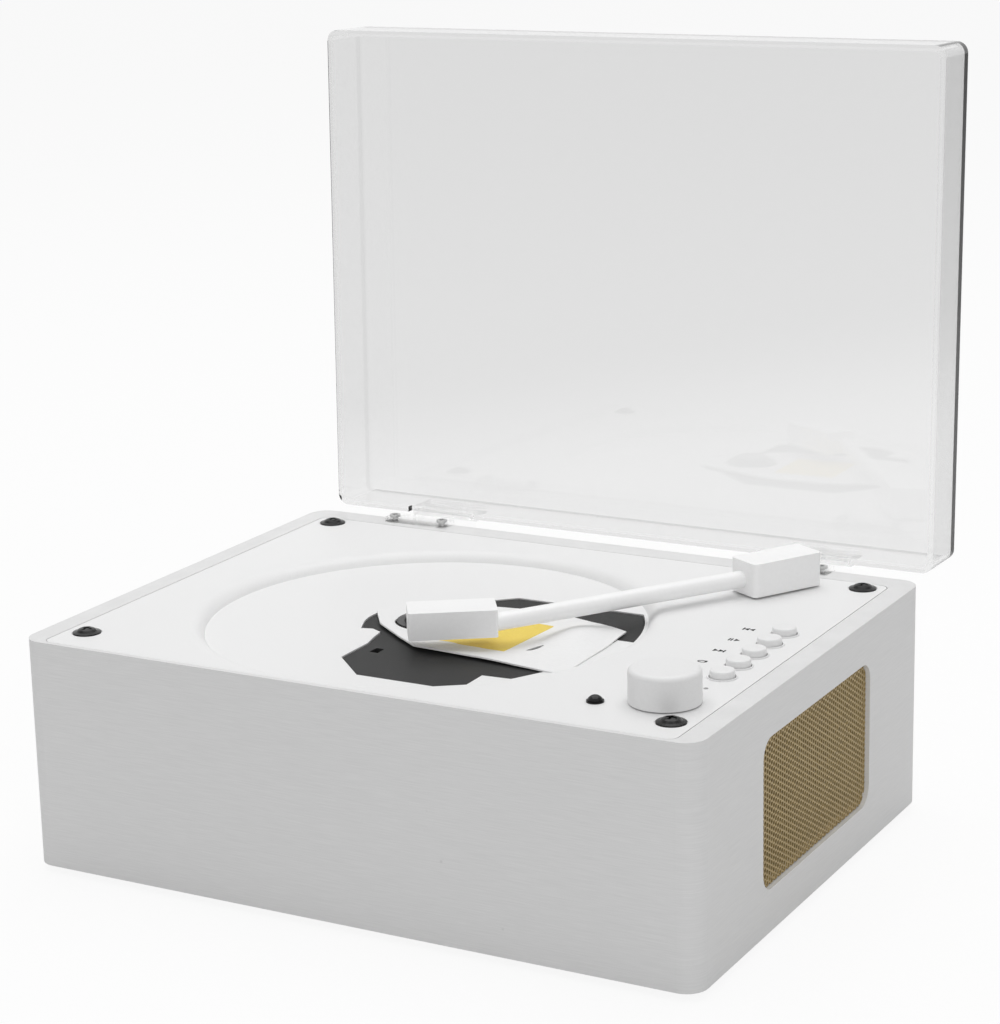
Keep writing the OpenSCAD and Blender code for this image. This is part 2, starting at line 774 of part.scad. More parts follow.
module arm_washer() {
    color("dimgray") translate([arm_x, arm_y, top_z]) difference() {
        cylinder(r = 5, h = 0.45);
        translate([0, 0, -1]) cylinder(r = arm_pin_r, h = 3);
    }
}

module arm_pivot_block() {
    color("white") on_arm() difference() {
        rotate([0, 0, arm_block_turn])
            rounded_block([-arm_block[0] / 2, arm_block[0] / 2],
                [-arm_block[1] / 2, arm_block[1] / 2],
                [arm_block_z, arm_block_z + arm_block[2]], 1.6);
        translate([0, 0, arm_block_z - 1]) cylinder(r = arm_pin_r + running_gap, h = 8.5);
        translate([arm_block[0] / 2 - arm_socket, 0, arm_axis_z]) rotate([0, 90, 0])
            cylinder(r = arm_tube_r, h = arm_socket + 1);
    }
}

module arm_tube() {
    x0 = arm_block[0] / 2 - arm_socket;
    x1 = arm_reach + 4;
    color("white") on_arm() translate([x0, 0, arm_axis_z]) rotate([0, 90, 0]) difference() {
        cylinder(r = arm_tube_r, h = x1 - x0);
        translate([0, 0, -1]) cylinder(r = arm_tube_r - 0.6, h = x1 - x0 + 2);
    }
}

// The head turns inwards at the tube's end, its inner edge past the tube
module on_head() {
    on_arm() translate([arm_reach, 0, 0]) rotate([0, 0, -head_turn]) children();
}

module arm_head_shell() {
    color("white") difference() {
        on_head() difference() {
            rounded_block([0, arm_head[0]], [-arm_head[1] * 0.66, arm_head[1] * 0.34],
                [arm_head_z, arm_head_z + arm_head[2]], 0.8);
            rounded_block([6, arm_head[0] - 4], [-arm_head[1] * 0.66 + 3, arm_head[1] * 0.34 - 3],
                [arm_head_z - 1, arm_head_z + 0.8], 1);
        }
        on_arm() translate([arm_reach - 4, 0, arm_axis_z]) rotate([0, 90, 0])
            cylinder(r = arm_tube_r, h = 8);
    }
}

// Disc drive

// The deck's raised part fills the panel's opening, almost flush with the floor of the well
module drive_deck() {
    color("#2b2b2d") difference() {
        union() {
            rounded_block(deck_x, deck_y, [deck_under_z, deck_top_z], 4);
            inside_opening(deck_under_z + 0.5, platform_z, 0.4);
            for (y = rod_ys, x = [rod_x[0], rod_x[1] - 4])
                block([x, y - 3.5, rod_z - 3], [x + 4, y + 3.5, deck_under_z + 0.1]);
            translate([feed_gear_x, feed_gear_y, feed_z - 3.4])
                cylinder(r = 1, h = deck_under_z - feed_z + 3.5);
            translate([feed_gear_x, feed_gear_y, feed_z + 4])
                cylinder(r = 2.2, h = deck_under_z - feed_z - 3.9);
            for (turn = [90, 180, 270]) translate([well_x, well_y, deck_under_z - 3])
                rotate([0, 0, turn]) block([12.6, -2, 0], [16, 2, 3.1]);
        }
        translate([well_x, well_y, deck_under_z - 1]) cylinder(r = 5, h = 8);
        rounded_block([well_x + 14, well_x + 66], [well_y - 12, well_y + 12],
            [deck_under_z - 1, well_floor_z], 3);
        block([well_x - 1.5, 46, deck_under_z - 1], [well_x + 1.5, 50.4, well_floor_z]);
        for (y = rod_ys) translate([rod_x[0] + 1.2, y, rod_z]) rotate([0, 90, 0])
            cylinder(r = rod_r, h = rod_x[1] - rod_x[0] - 2.4);
        for (spot = deck_mounts) translate([spot[0], spot[1], deck_under_z - 1])
            cylinder(r = 4.5, h = deck_t + 2);
        translate([motor_gear_x, motor_gear_y, deck_under_z - 1]) cylinder(r = 3, h = deck_t + 1);
    }
}

module deck_grommets() {
    color("black") for (spot = deck_mounts) translate([spot[0], spot[1], 0])
        rotate_extrude() polygon([
            [3.1, deck_under_z - 1.5], [5.6, deck_under_z - 1.5], [5.6, deck_under_z],
            [4.5, deck_under_z], [4.5, deck_top_z], [5.6, deck_top_z],
            [5.6, well_under_z], [3.1, well_under_z]
        ]);
}

module deck_screws() {
    color("silver") for (spot = deck_mounts) translate([spot[0], spot[1], deck_under_z - 1.5]) {
        translate([0, 0, -1.6]) cylinder(r = 5, h = 1.6);
        translate([0, 0, -0.1]) cylinder(r = 1.1, h = 4);
    }
}

module turntable_hub() {
    color("black") translate([well_x, well_y, 0]) difference() {
        union() {
            rotate_extrude() polygon([
                [0, hub_top_z - 1.2], [hub_r - 0.4, hub_top_z - 1.2], [hub_r, hub_top_z - 0.8],
                [hub_r, hub_top_z], [boss_r, hub_top_z], [boss_r, hub_top_z + boss_h - 0.7],
                [boss_r - 1.2, hub_top_z + boss_h], [0, hub_top_z + boss_h]
            ]);
            translate([0, 0, deck_top_z + 0.4]) cylinder(r = 3, h = hub_top_z - deck_top_z - 0.9);
        }
        translate([0, 0, deck_top_z]) cylinder(r = spindle_r, h = 4.5);
        for (turn = [0, 120, 240]) rotate([0, 0, turn])
            translate([boss_r - 0.8, 0, hub_top_z + 0.95]) {
                sphere(r = 0.8, $fn = 24);
                rotate([0, 90, 0]) cylinder(r = 0.8, h = 2, $fn = 24);
            }
    }
}

module disc_grip_balls() {
    color("silver") translate([well_x, well_y, hub_top_z + 0.95]) for (turn = [0, 120, 240])
        rotate([0, 0, turn]) translate([boss_r - 0.8, 0, 0]) sphere(r = 0.8, $fn = 24);
}

module spindle_shaft() {
    color("silver") translate([well_x, well_y, deck_under_z - 14])
        cylinder(r = spindle_r, h = deck_top_z + 4.3 - deck_under_z + 14);
}

module spindle_motor() {
    color("silver") translate([well_x, well_y, 0]) difference() {
        union() {
            translate([0, 0, deck_under_z - 13]) cylinder(r = 12.2, h = 9.9);
            translate([0, 0, deck_under_z - 15]) cylinder(r = 4, h = 3);
            translate([0, 0, deck_under_z - 3.2]) cylinder(r = 3.5, h = 1.6);
            for (turn = [90, 180, 270]) rotate([0, 0, turn])
                block([10, -2, deck_under_z - 4.2], [16, 2, deck_under_z - 3]);
        }
        translate([0, 0, deck_under_z - 14.2]) cylinder(r = spindle_r + running_gap, h = 20);
    }
}

module guide_rods() {
    color("silver") for (y = rod_ys) translate([rod_x[0] + 1.3, y, rod_z]) rotate([0, 90, 0])
        cylinder(r = rod_r, h = rod_x[1] - rod_x[0] - 2.6);
}

// The sled carries the laser, rides on both rods, and has the rack along its front edge
rack_teeth = [-3, ceil(sled_travel / rack_pitch) + 2];

module sled_rack() {
    h = gear_module;
    x1 = feed_gear_x - rack_teeth[0] * rack_pitch + rack_pitch / 2;
    x0 = feed_gear_x - rack_teeth[1] * rack_pitch - rack_pitch / 2;
    translate([0, 0, feed_z - 0.2]) {
        block([x0, rack_y + 1.1 * h, 0], [x1, rack_y + 3.6, 3.2]);
        for (i = [rack_teeth[0] : rack_teeth[1]])
            translate([feed_gear_x - i * rack_pitch, rack_y, 0]) linear_extrude(3.2) polygon([
                [-0.31 * rack_pitch - 0.22 * h, 1.15 * h], [-0.09 * rack_pitch, -0.85 * h],
                [0.09 * rack_pitch, -0.85 * h], [0.31 * rack_pitch + 0.22 * h, 1.15 * h]
            ]);
    }
}

module pickup_sled() {
    color("black") difference() {
        union() {
            block([lens_x - 11, well_y - 22.4, rod_z - 3], [lens_x + 10, well_y + 20, rod_z + 3]);
            rounded_block([lens_x - 9, lens_x + 6], [well_y - 9, well_y + 9],
                [rod_z + 2.9, optics_top_z], 2);
            sled_rack();
        }
        for (y = rod_ys) translate([lens_x - 20, y, rod_z]) rotate([0, 90, 0])
            cylinder(r = rod_r + running_gap, h = 60);
        translate([lens_x, well_y, optics_top_z - 2]) cylinder(r = 3, h = 3);
    }
}

module pickup_lens() {
    color("royalblue") translate([lens_x, well_y, optics_top_z - 2]) {
        cylinder(r = 3, h = 1.2);
        translate([0, 0, 1.19]) intersection() {
            cylinder(r = 2, h = 3);
            translate([0, 0, -2.4]) sphere(r = 3.12);
        }
    }
}

module feed_gear() {
    color("ivory") translate([feed_gear_x, feed_gear_y, feed_z]) difference() {
        union() {
            translate([0, 0, -2.4]) gear_wheel(feed_wheel_teeth, wheel_t);
            translate([0, 0, -0.5]) gear_wheel(feed_pinion_teeth, 4.2);
        }
        translate([0, 0, -5]) cylinder(r = 1 + running_gap, h = 12);
    }
}

module feed_motor() {
    color("silver") translate([motor_gear_x, motor_gear_y, 0]) difference() {
        union() {
            translate([0, 0, feed_z + 1]) cylinder(r = 6.5, h = deck_under_z - feed_z - 1);
            translate([0, 0, deck_under_z - 0.1]) cylinder(r = 3, h = 1.5);
        }
        translate([0, 0, feed_z]) cylinder(r = 1 + running_gap, h = 5);
    }
}

module feed_motor_pinion() {
    color("ivory") translate([motor_gear_x, motor_gear_y, feed_z]) {
        translate([0, 0, -2.4]) rotate([0, 0, 90 + 180 / motor_pinion_teeth])
            gear_wheel(motor_pinion_teeth, wheel_t);
        translate([0, 0, -0.5]) cylinder(r = 1, h = 5);
    }
}

// Thin card that guards the lens and lies in the panel's opening
module lens_guard_card() {
    color("white") difference() {
        intersection() {
            inside_opening(platform_z, well_floor_z + 0.2, 0.6);
            translate([well_x, 0, platform_z - 1]) linear_extrude(3) polygon([
                [-20.2, 81.9], [-12.2, 70.9], [-0.2, 61.9], [9.8, 54.9], [59.8, 49.9], [66, 62],
                [66, 97], [62.8, 100.9], [46.8, 102.9], [10, 99], [-8, 94], [-18, 88]
            ]);
        }
        translate([well_x, well_y, platform_z - 1]) cylinder(r = hub_r + 0.6, h = 3);
    }
}

// Dust cover and hinges

module at_hinges() { for (side = [-1, 1]) translate([side * hinge_x, 0, 0]) children(); }

module hinge_bases() {
    color("lightcyan", 0.5) at_hinges() difference() {
        union() {
            rounded_block([-hinge_w / 2, hinge_w / 2], [hinge_tab_y, case_d + hinge_plate_t],
                [top_z, top_z + hinge_plate_t], 1);
            block([-hinge_w / 2, case_d, hinge_z - knuckle_r],
                [hinge_w / 2, case_d + hinge_plate_t, top_z + 0.5]);
            block([-knuckle_half, case_d, hinge_z - knuckle_r],
                [knuckle_half, hinge_y, hinge_z + knuckle_r]);
            translate([-knuckle_half, hinge_y, hinge_z]) rotate([0, 90, 0])
                cylinder(r = knuckle_r, h = 2 * knuckle_half);
        }
        translate([-hinge_w, hinge_y, hinge_z]) rotate([0, 90, 0])
            cylinder(r = hinge_pin_r, h = 2 * hinge_w);
        for (sx = [-1, 1]) translate([sx * 10, hinge_screw_y, top_z - 1]) cylinder(r = 1.2, h = 4);
    }
}

module hinge_base_screws() {
    color("silver") for (x = hinge_screw_xs) translate([x, hinge_screw_y, top_z + hinge_plate_t])
        difference() {
            union() {
                cylinder(r = 2, h = 0.8);
                translate([0, 0, -9]) cylinder(r = 1, h = 9.1);
            }
            for (turn = [0, 90]) rotate([0, 0, turn]) block([-1.2, -0.25, 0.35], [1.2, 0.25, 1]);
        }
}

module hinge_pins() {
    color("white") at_hinges() translate([-hinge_w / 2 + 0.5, hinge_y, hinge_z])
        rotate([0, 90, 0]) cylinder(r = hinge_pin_r, h = hinge_w - 1);
}

module hinge_leaves() {
    color("lightcyan", 0.5) opened() at_hinges() difference() {
        union() {
            block([-hinge_w / 2, cover_y1, leaf_z], [hinge_w / 2, cover_y1 + leaf_t, leaf_z + leaf_l]);
            block([-hinge_w / 2, cover_y1, leaf_z], [hinge_w / 2, hinge_y + 2, leaf_z + leaf_t]);
            for (sx = [-1, 1]) {
                x = sx * (hinge_w / 4 + (knuckle_half + knuckle_gap) / 2);
                half = hinge_w / 4 - (knuckle_half + knuckle_gap) / 2;
                block([x - half, hinge_y - 2, hinge_z], [x + half, hinge_y + 2, leaf_z + leaf_t]);
                translate([x - half, hinge_y, hinge_z]) rotate([0, 90, 0])
                    cylinder(r = knuckle_r, h = 2 * half);
            }
        }
        translate([-hinge_w, hinge_y, hinge_z]) rotate([0, 90, 0])
            cylinder(r = hinge_pin_r + running_gap, h = 2 * hinge_w);
    }
}

module dust_cover() {
    color("lightcyan", 0.4) opened() difference() {
        rounded_block([-cover_w / 2, cover_w / 2], [cover_y0, cover_y1],
            [cover_z0, cover_z0 + cover_h], cover_r);
        rounded_block([-cover_w / 2 + cover_t, cover_w / 2 - cover_t],
            [cover_y0 + cover_t, cover_y1 - cover_t],
            [cover_z0 - 1, cover_z0 + cover_h - cover_t], cover_r - cover_t);
        at_hinges() block([-hinge_w / 2 - 0.5, cover_y1 - 6, cover_z0 - 1],
            [hinge_w / 2 + 0.5, cover_y1 + 1, leaf_z]);
    }
}

in_frame() front_board();
in_frame() back_board();
in_frame() side_boards();
in_frame() corner_posts();
in_frame() bottom_board();
in_frame() rubber_feet();
in_frame() wood_screws();
in_frame() top_panel();
in_frame() panel_screws();
in_frame() side_grilles();
in_frame() speaker_baffles();
in_frame() speaker_baskets();
in_frame() speaker_cones();
in_frame() speaker_magnets();
in_frame() rear_socket_plate();
in_frame() rear_plate_screws();
in_frame() power_inlet();
in_frame() line_out_socket();
in_frame() main_board();
in_frame() main_board_parts();
in_frame() board_spacers();
in_frame() control_board();
in_frame() control_board_screws();
in_frame() button_switches();
in_frame() button_previous();
in_frame() button_play();
in_frame() button_next();
in_frame() button_mode();
in_frame() button_power();
in_frame() volume_knob();
in_frame() encoder_shaft();
in_frame() encoder_body();
in_frame() encoder_nut();
in_frame() remote_receiver();
in_frame() status_lamp();
in_frame() arm_pivot_post();
in_frame() arm_washer();
in_frame() arm_pivot_block();
in_frame() arm_tube();
in_frame() arm_head_shell();
in_frame() drive_deck();
in_frame() deck_grommets();
in_frame() deck_screws();
in_frame() turntable_hub();
in_frame() disc_grip_balls();
in_frame() spindle_shaft();
in_frame() spindle_motor();
in_frame() guide_rods();
in_frame() pickup_sled();
in_frame() pickup_lens();
in_frame() feed_gear();
in_frame() feed_motor();
in_frame() feed_motor_pinion();
in_frame() lens_guard_card();
in_frame() hinge_bases();
in_frame() hinge_base_screws();
in_frame() hinge_pins();
in_frame() hinge_leaves();
in_frame() dust_cover();
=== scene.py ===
# %% [markdown]
# # A tabletop disc player
# The player is a white wooden case with a moulded white top, a clear dust cover, a dummy
# tonearm and a bronze speaker grille in each side. Its solids come from a CAD model, so this
# lesson loads them as a fixed frame, adds the pieces that are too fine for CAD, and gives
# every surface a procedural material. All lengths are in metres.

# %% Load the frame
import bpy
import math
from mathutils import Matrix, Vector


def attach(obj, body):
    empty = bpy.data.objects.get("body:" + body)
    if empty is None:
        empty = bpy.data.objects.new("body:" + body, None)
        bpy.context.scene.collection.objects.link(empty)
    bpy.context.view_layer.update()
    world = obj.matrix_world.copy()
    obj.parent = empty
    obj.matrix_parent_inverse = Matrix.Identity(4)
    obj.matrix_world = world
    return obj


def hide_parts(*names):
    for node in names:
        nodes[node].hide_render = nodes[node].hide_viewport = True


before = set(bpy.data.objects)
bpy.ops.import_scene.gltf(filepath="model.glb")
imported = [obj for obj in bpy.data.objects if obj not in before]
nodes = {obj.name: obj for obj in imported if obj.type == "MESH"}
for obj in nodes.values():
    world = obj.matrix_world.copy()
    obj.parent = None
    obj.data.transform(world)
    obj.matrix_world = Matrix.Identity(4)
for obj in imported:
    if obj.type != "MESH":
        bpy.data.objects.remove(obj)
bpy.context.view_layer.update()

# %% [markdown]
# ## Camera
# The photograph was taken from the front right, slightly above the player, with a long lens.
# The camera's place, turn and lens were solved from the edges of the case, so that the
# render's lines fall on the photograph's lines. Its place is measured from the case's front
# left bottom corner in millimetres, and its angles are in radians.

# %% Camera
MM = 0.001
MIDDLE_Y = 109.4925
CASE_HALF_W = 120
FOOT_H = 2.5
CAMERA_X, CAMERA_Y, CAMERA_Z = 547.92, -667.29, 339.5
azimuth, elevation, roll = 0.506, 0.2575, -0.0227
back = Vector((math.sin(azimuth) * math.cos(elevation), -math.cos(azimuth) * math.cos(elevation),
               math.sin(elevation)))
right = Vector((math.cos(azimuth), math.sin(azimuth), 0))
up = back.cross(right)
right, up = (math.cos(roll) * right + math.sin(roll) * up,
             math.cos(roll) * up - math.sin(roll) * right)
camera_data = bpy.data.cameras.new("photo_camera")
camera_data.lens = 96.74
camera_data.sensor_width = 36
camera_data.clip_end = 50
camera = bpy.data.objects.new("photo_camera", camera_data)
bpy.context.collection.objects.link(camera)
turn = Matrix((right, up, back)).transposed().to_4x4()
camera_place = Vector((CAMERA_X - CASE_HALF_W, CAMERA_Y - MIDDLE_Y, CAMERA_Z + FOOT_H)) * MM
camera.matrix_world = Matrix.Translation(camera_place) @ turn
bpy.context.scene.camera = camera
print("camera at", tuple(round(v, 3) for v in camera.location))

# %% [markdown]
# ## Helpers
# An operator acts on everything that is selected, so each piece starts with nothing selected.
# A finished piece has its place in its mesh, rides on a body of the frame and has a material.
# The heights of the panel's top and of the disc well's floor, and the middle of the speaker
# windows, are used all through the lesson.

# %% Helpers
def start():
    """Leaves edit mode and deselects everything."""
    if bpy.context.object and bpy.context.object.mode != "OBJECT":
        bpy.ops.object.mode_set(mode="OBJECT")
    bpy.ops.object.select_all(action="DESELECT")


def only(piece):
    """Selects one piece and makes it active."""
    start()
    piece.select_set(True)
    bpy.context.view_layer.objects.active = piece


def settle(piece, name, material, body, stands_for=()):
    """Puts a piece's place into its mesh, names it, paints it and lets it ride."""
    only(piece)
    bpy.ops.object.transform_apply(location=True, rotation=True, scale=True)
    piece.name = name
    piece.data.name = name
    piece.data.materials.clear()
    piece.data.materials.append(material)
    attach(piece, body)
    if stands_for:
        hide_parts(*stands_for)
    return piece


def joined(pieces):
    """Makes one mesh of several."""
    start()
    for piece in pieces:
        piece.select_set(True)
    bpy.context.view_layer.objects.active = pieces[0]
    bpy.ops.object.join()
    return pieces[0]


def at(x, y, z):
    """A point given in millimetres: x from the middle, y from the case's front, z from the table."""
    return Vector((x, y - MIDDLE_Y, z)) * MM


TOP = 79.5
WELL_DEPTH = 3.4
FLOOR = TOP - WELL_DEPTH
WINDOW_Y, WINDOW_Z = 90.5, 41
print("helpers ready")

# %% [markdown]
# ## Shared surface effects
# Every real surface varies a little. One group stretches a noise along the grain of the
# material and gives back a colour between two, a roughness between two and a height for a
# bump. A second group adds small scuffs and specks. Each material uses them with its own values.

# %% Surface variation group
def socket(group, name, kind, way, value=None):
    """Adds one socket to a group and sets its default."""
    new = group.interface.new_socket(name=name, in_out=way, socket_type=kind)
    if value is not None:
        new.default_value = value
    return new


variation = bpy.data.node_groups.new("surface_variation", "ShaderNodeTree")
socket(variation, "Dark Colour", "NodeSocketColor", "INPUT", (0.5, 0.5, 0.5, 1))
socket(variation, "Light Colour", "NodeSocketColor", "INPUT", (0.6, 0.6, 0.6, 1))
socket(variation, "Stretch", "NodeSocketVector", "INPUT", (100, 100, 100))
socket(variation, "Smoothest", "NodeSocketFloat", "INPUT", 0.4)
socket(variation, "Roughest", "NodeSocketFloat", "INPUT", 0.5)
socket(variation, "Colour", "NodeSocketColor", "OUTPUT")
socket(variation, "Roughness", "NodeSocketFloat", "OUTPUT")
socket(variation, "Height", "NodeSocketFloat", "OUTPUT")
inside = variation.nodes
link = variation.links.new
group_in = inside.new("NodeGroupInput")
group_out = inside.new("NodeGroupOutput")
place = inside.new("ShaderNodeTexCoord")
stretched = inside.new("ShaderNodeVectorMath")
stretched.operation = "MULTIPLY"
noise = inside.new("ShaderNodeTexNoise")
noise.inputs["Scale"].default_value = 1
noise.inputs["Detail"].default_value = 4
noise.inputs["Roughness"].default_value = 0.62
spread = inside.new("ShaderNodeMapRange")
spread.inputs["From Min"].default_value = 0.3
spread.inputs["From Max"].default_value = 0.7
blend = inside.new("ShaderNodeMix")
blend.data_type = "RGBA"
rough = inside.new("ShaderNodeMapRange")
link(place.outputs["Object"], stretched.inputs[0])
link(group_in.outputs["Stretch"], stretched.inputs[1])
link(stretched.outputs[0], noise.inputs["Vector"])
link(noise.outputs["Fac"], spread.inputs["Value"])
link(spread.outputs[0], blend.inputs["Factor"])
link(group_in.outputs["Dark Colour"], blend.inputs[6])
link(group_in.outputs["Light Colour"], blend.inputs[7])
link(spread.outputs[0], rough.inputs["Value"])
link(group_in.outputs["Smoothest"], rough.inputs["To Min"])
link(group_in.outputs["Roughest"], rough.inputs["To Max"])
link(blend.outputs[2], group_out.inputs["Colour"])
link(rough.outputs[0], group_out.inputs["Roughness"])
link(spread.outputs[0], group_out.inputs["Height"])
print("surface_variation:", len(inside), "nodes")

# %% Scuff group
scuffs = bpy.data.node_groups.new("scuffs_and_specks", "ShaderNodeTree")
socket(scuffs, "Colour", "NodeSocketColor", "INPUT", (0.8, 0.8, 0.8, 1))
socket(scuffs, "Scuff Colour", "NodeSocketColor", "INPUT", (0.3, 0.3, 0.3, 1))
socket(scuffs, "Spacing", "NodeSocketFloat", "INPUT", 60)
socket(scuffs, "Amount", "NodeSocketFloat", "INPUT", 0.3)
socket(scuffs, "Colour", "NodeSocketColor", "OUTPUT")
inside = scuffs.nodes
link = scuffs.links.new
group_in = inside.new("NodeGroupInput")
group_out = inside.new("NodeGroupOutput")
place = inside.new("ShaderNodeTexCoord")
cells = inside.new("ShaderNodeTexVoronoi")
speck = inside.new("ShaderNodeMapRange")
speck.inputs["From Min"].default_value = 0.02
speck.inputs["From Max"].default_value = 0.06
speck.inputs["To Min"].default_value = 1
speck.inputs["To Max"].default_value = 0
patches = inside.new("ShaderNodeTexNoise")
patches.inputs["Scale"].default_value = 23
where = inside.new("ShaderNodeMapRange")
where.inputs["From Min"].default_value = 0.56
where.inputs["From Max"].default_value = 0.66
both = inside.new("ShaderNodeMath")
both.operation = "MULTIPLY"
strength = inside.new("ShaderNodeMath")
strength.operation = "MULTIPLY"
blend = inside.new("ShaderNodeMix")
blend.data_type = "RGBA"
link(place.outputs["Object"], cells.inputs["Vector"])
link(place.outputs["Object"], patches.inputs["Vector"])
link(group_in.outputs["Spacing"], cells.inputs["Scale"])
link(cells.outputs["Distance"], speck.inputs["Value"])
link(patches.outputs["Fac"], where.inputs["Value"])
link(speck.outputs[0], both.inputs[0])
link(where.outputs[0], both.inputs[1])
link(both.outputs[0], strength.inputs[0])
link(group_in.outputs["Amount"], strength.inputs[1])
link(strength.outputs[0], blend.inputs["Factor"])
link(group_in.outputs["Colour"], blend.inputs[6])
link(group_in.outputs["Scuff Colour"], blend.inputs[7])
link(blend.outputs[2], group_out.inputs["Colour"])
print("scuffs_and_specks:", len(inside), "nodes")

# %% [markdown]
# ## Materials
# Most finishes differ only in colours, grain direction and gloss, so one function builds them
# from the two groups. Grain runs along an axis when the stretch is small on that axis.

# %% Material function
def finish(name, dark, light, stretch, smoothest, roughest, bump, metallic=0.0, scuff=0.0,
           scuff_colour=(0.25, 0.25, 0.25), spacing=60, coat=0.0, specular=0.5):
    """One procedural material. bump is the height of its relief in metres."""
    material = bpy.data.materials.new(name)
    material.use_nodes = True
    tree = material.node_tree
    shader = tree.nodes["Principled BSDF"]
    surface = tree.nodes.new("ShaderNodeGroup")
    surface.node_tree = variation
    surface.inputs["Dark Colour"].default_value = (*dark, 1)
    surface.inputs["Light Colour"].default_value = (*light, 1)
    surface.inputs["Stretch"].default_value = stretch
    surface.inputs["Smoothest"].default_value = smoothest
    surface.inputs["Roughest"].default_value = roughest
    colour = surface.outputs["Colour"]
    if scuff:
        marks = tree.nodes.new("ShaderNodeGroup")
        marks.node_tree = scuffs
        marks.inputs["Scuff Colour"].default_value = (*scuff_colour, 1)
        marks.inputs["Spacing"].default_value = spacing
        marks.inputs["Amount"].default_value = scuff
        tree.links.new(colour, marks.inputs["Colour"])
        colour = marks.outputs["Colour"]
    tree.links.new(colour, shader.inputs["Base Color"])
    tree.links.new(surface.outputs["Roughness"], shader.inputs["Roughness"])
    relief = tree.nodes.new("ShaderNodeBump")
    relief.inputs["Strength"].default_value = 1
    relief.inputs["Distance"].default_value = bump
    tree.links.new(surface.outputs["Height"], relief.inputs["Height"])
    tree.links.new(relief.outputs["Normal"], shader.inputs["Normal"])
    shader.inputs["Metallic"].default_value = metallic
    shader.inputs["Coat Weight"].default_value = coat
    shader.inputs["Specular IOR Level"].default_value = specular
    return material


def grey(value):
    """A neutral colour."""
    return (value, value, value)


# %% Opaque finishes
case_foil = finish("case_foil", grey(0.70), grey(0.755), (90, 90, 2600), 0.42, 0.56, 6e-6,
                   scuff=0.35, scuff_colour=grey(0.4), spacing=85)
panel_white = finish("panel_white", grey(0.80), grey(0.825), (1800, 1800, 1800), 0.40, 0.5, 5e-6,
                     scuff=0.12, spacing=120)
arm_white = finish("arm_white", grey(0.9), grey(0.93), (900, 900, 900), 0.3, 0.38, 3e-6)
knob_white = finish("knob_white", grey(0.79), grey(0.815), (1200, 1200, 1200), 0.38, 0.46, 4e-6)
raw_wood = finish("raw_wood", (0.42, 0.27, 0.14), (0.60, 0.43, 0.26), (900, 900, 60), 0.6, 0.75,
                  6e-5)
fibreboard = finish("fibreboard", (0.055, 0.05, 0.045), (0.09, 0.08, 0.07), (900, 900, 900), 0.7,
                    0.85, 5e-5)
foot_rubber = finish("foot_rubber", grey(0.018), grey(0.03), (1500, 1500, 1500), 0.75, 0.9, 3e-5)
screw_black = finish("screw_black", grey(0.006), grey(0.012), (2500, 2500, 2500), 0.16, 0.26,
                     6e-6, specular=0.2)
receiver_black = finish("receiver_black", grey(0.004), grey(0.007), (900, 900, 900), 0.04, 0.09,
                        1e-6, specular=0.25)
bright_steel = finish("bright_steel", grey(0.5), grey(0.62), (3000, 300, 3000), 0.22, 0.34, 4e-6,
                      metallic=1.0)
motor_steel = finish("motor_steel", grey(0.38), grey(0.47), (400, 400, 3500), 0.3, 0.42, 8e-6,
                     metallic=1.0)
bronze_mesh = finish("bronze_mesh", (0.37, 0.27, 0.12), (0.50, 0.38, 0.18), (700, 700, 700),
                     0.34, 0.5, 1e-5, metallic=0.35)
basket_black = finish("basket_black", grey(0.02), grey(0.035), (900, 900, 900), 0.4, 0.55, 2e-5,
                      metallic=0.3)
cone_paper = finish("cone_paper", grey(0.02), grey(0.04), (1400, 1400, 1400), 0.8, 0.95, 8e-5)
deck_black = finish("deck_black", grey(0.024), grey(0.034), (2200, 2200, 2200), 0.5, 0.62, 2.5e-5,
                    scuff=0.3, scuff_colour=grey(0.2), spacing=200, specular=0.15)
hub_black = finish("hub_black", grey(0.012), grey(0.02), (1200, 1200, 1200), 0.3, 0.4, 8e-6)
chip_black = finish("chip_black", grey(0.02), grey(0.035), (1600, 1600, 1600), 0.5, 0.7, 2e-5)
circuit_green = finish("circuit_green", (0.01, 0.10, 0.035), (0.02, 0.17, 0.06),
                       (600, 600, 600), 0.3, 0.45, 1.5e-5)
nylon = finish("nylon", (0.68, 0.66, 0.58), (0.76, 0.74, 0.67), (900, 900, 900), 0.4, 0.5, 8e-6)
lamp_dark = finish("lamp_dark", grey(0.30), grey(0.38), (900, 900, 900), 0.1, 0.2, 2e-6,
                   coat=0.5)
lens_blue = finish("lens_blue", (0.02, 0.05, 0.22), (0.04, 0.10, 0.34), (700, 700, 700), 0.03,
                   0.08, 1e-6, coat=1.0)
card_white = finish("card_white", grey(0.80), grey(0.84), (700, 2200, 700), 0.5, 0.62, 1.2e-5)
label_yellow = finish("label_yellow", (0.78, 0.58, 0.07), (0.84, 0.65, 0.12), (1200, 1200, 1200),
                      0.5, 0.6, 8e-6)
print_black = finish("print_black", grey(0.01), grey(0.02), (3000, 3000, 3000), 0.6, 0.7, 3e-6,
                     specular=0.2)
print("opaque finishes:", len(bpy.data.materials))

# %% [markdown]
# ## The case's raw core
# The case's boards are fibreboard, and the white foil covers only their outer faces. Where a
# window or a socket cuts through a board, its brown core shows. A mask made from the point's
# place does this: it is 1 wherever the point lies inside a box that is a few millimetres
# smaller than the case. CORE_HALF holds that box's half width, half depth and half height.

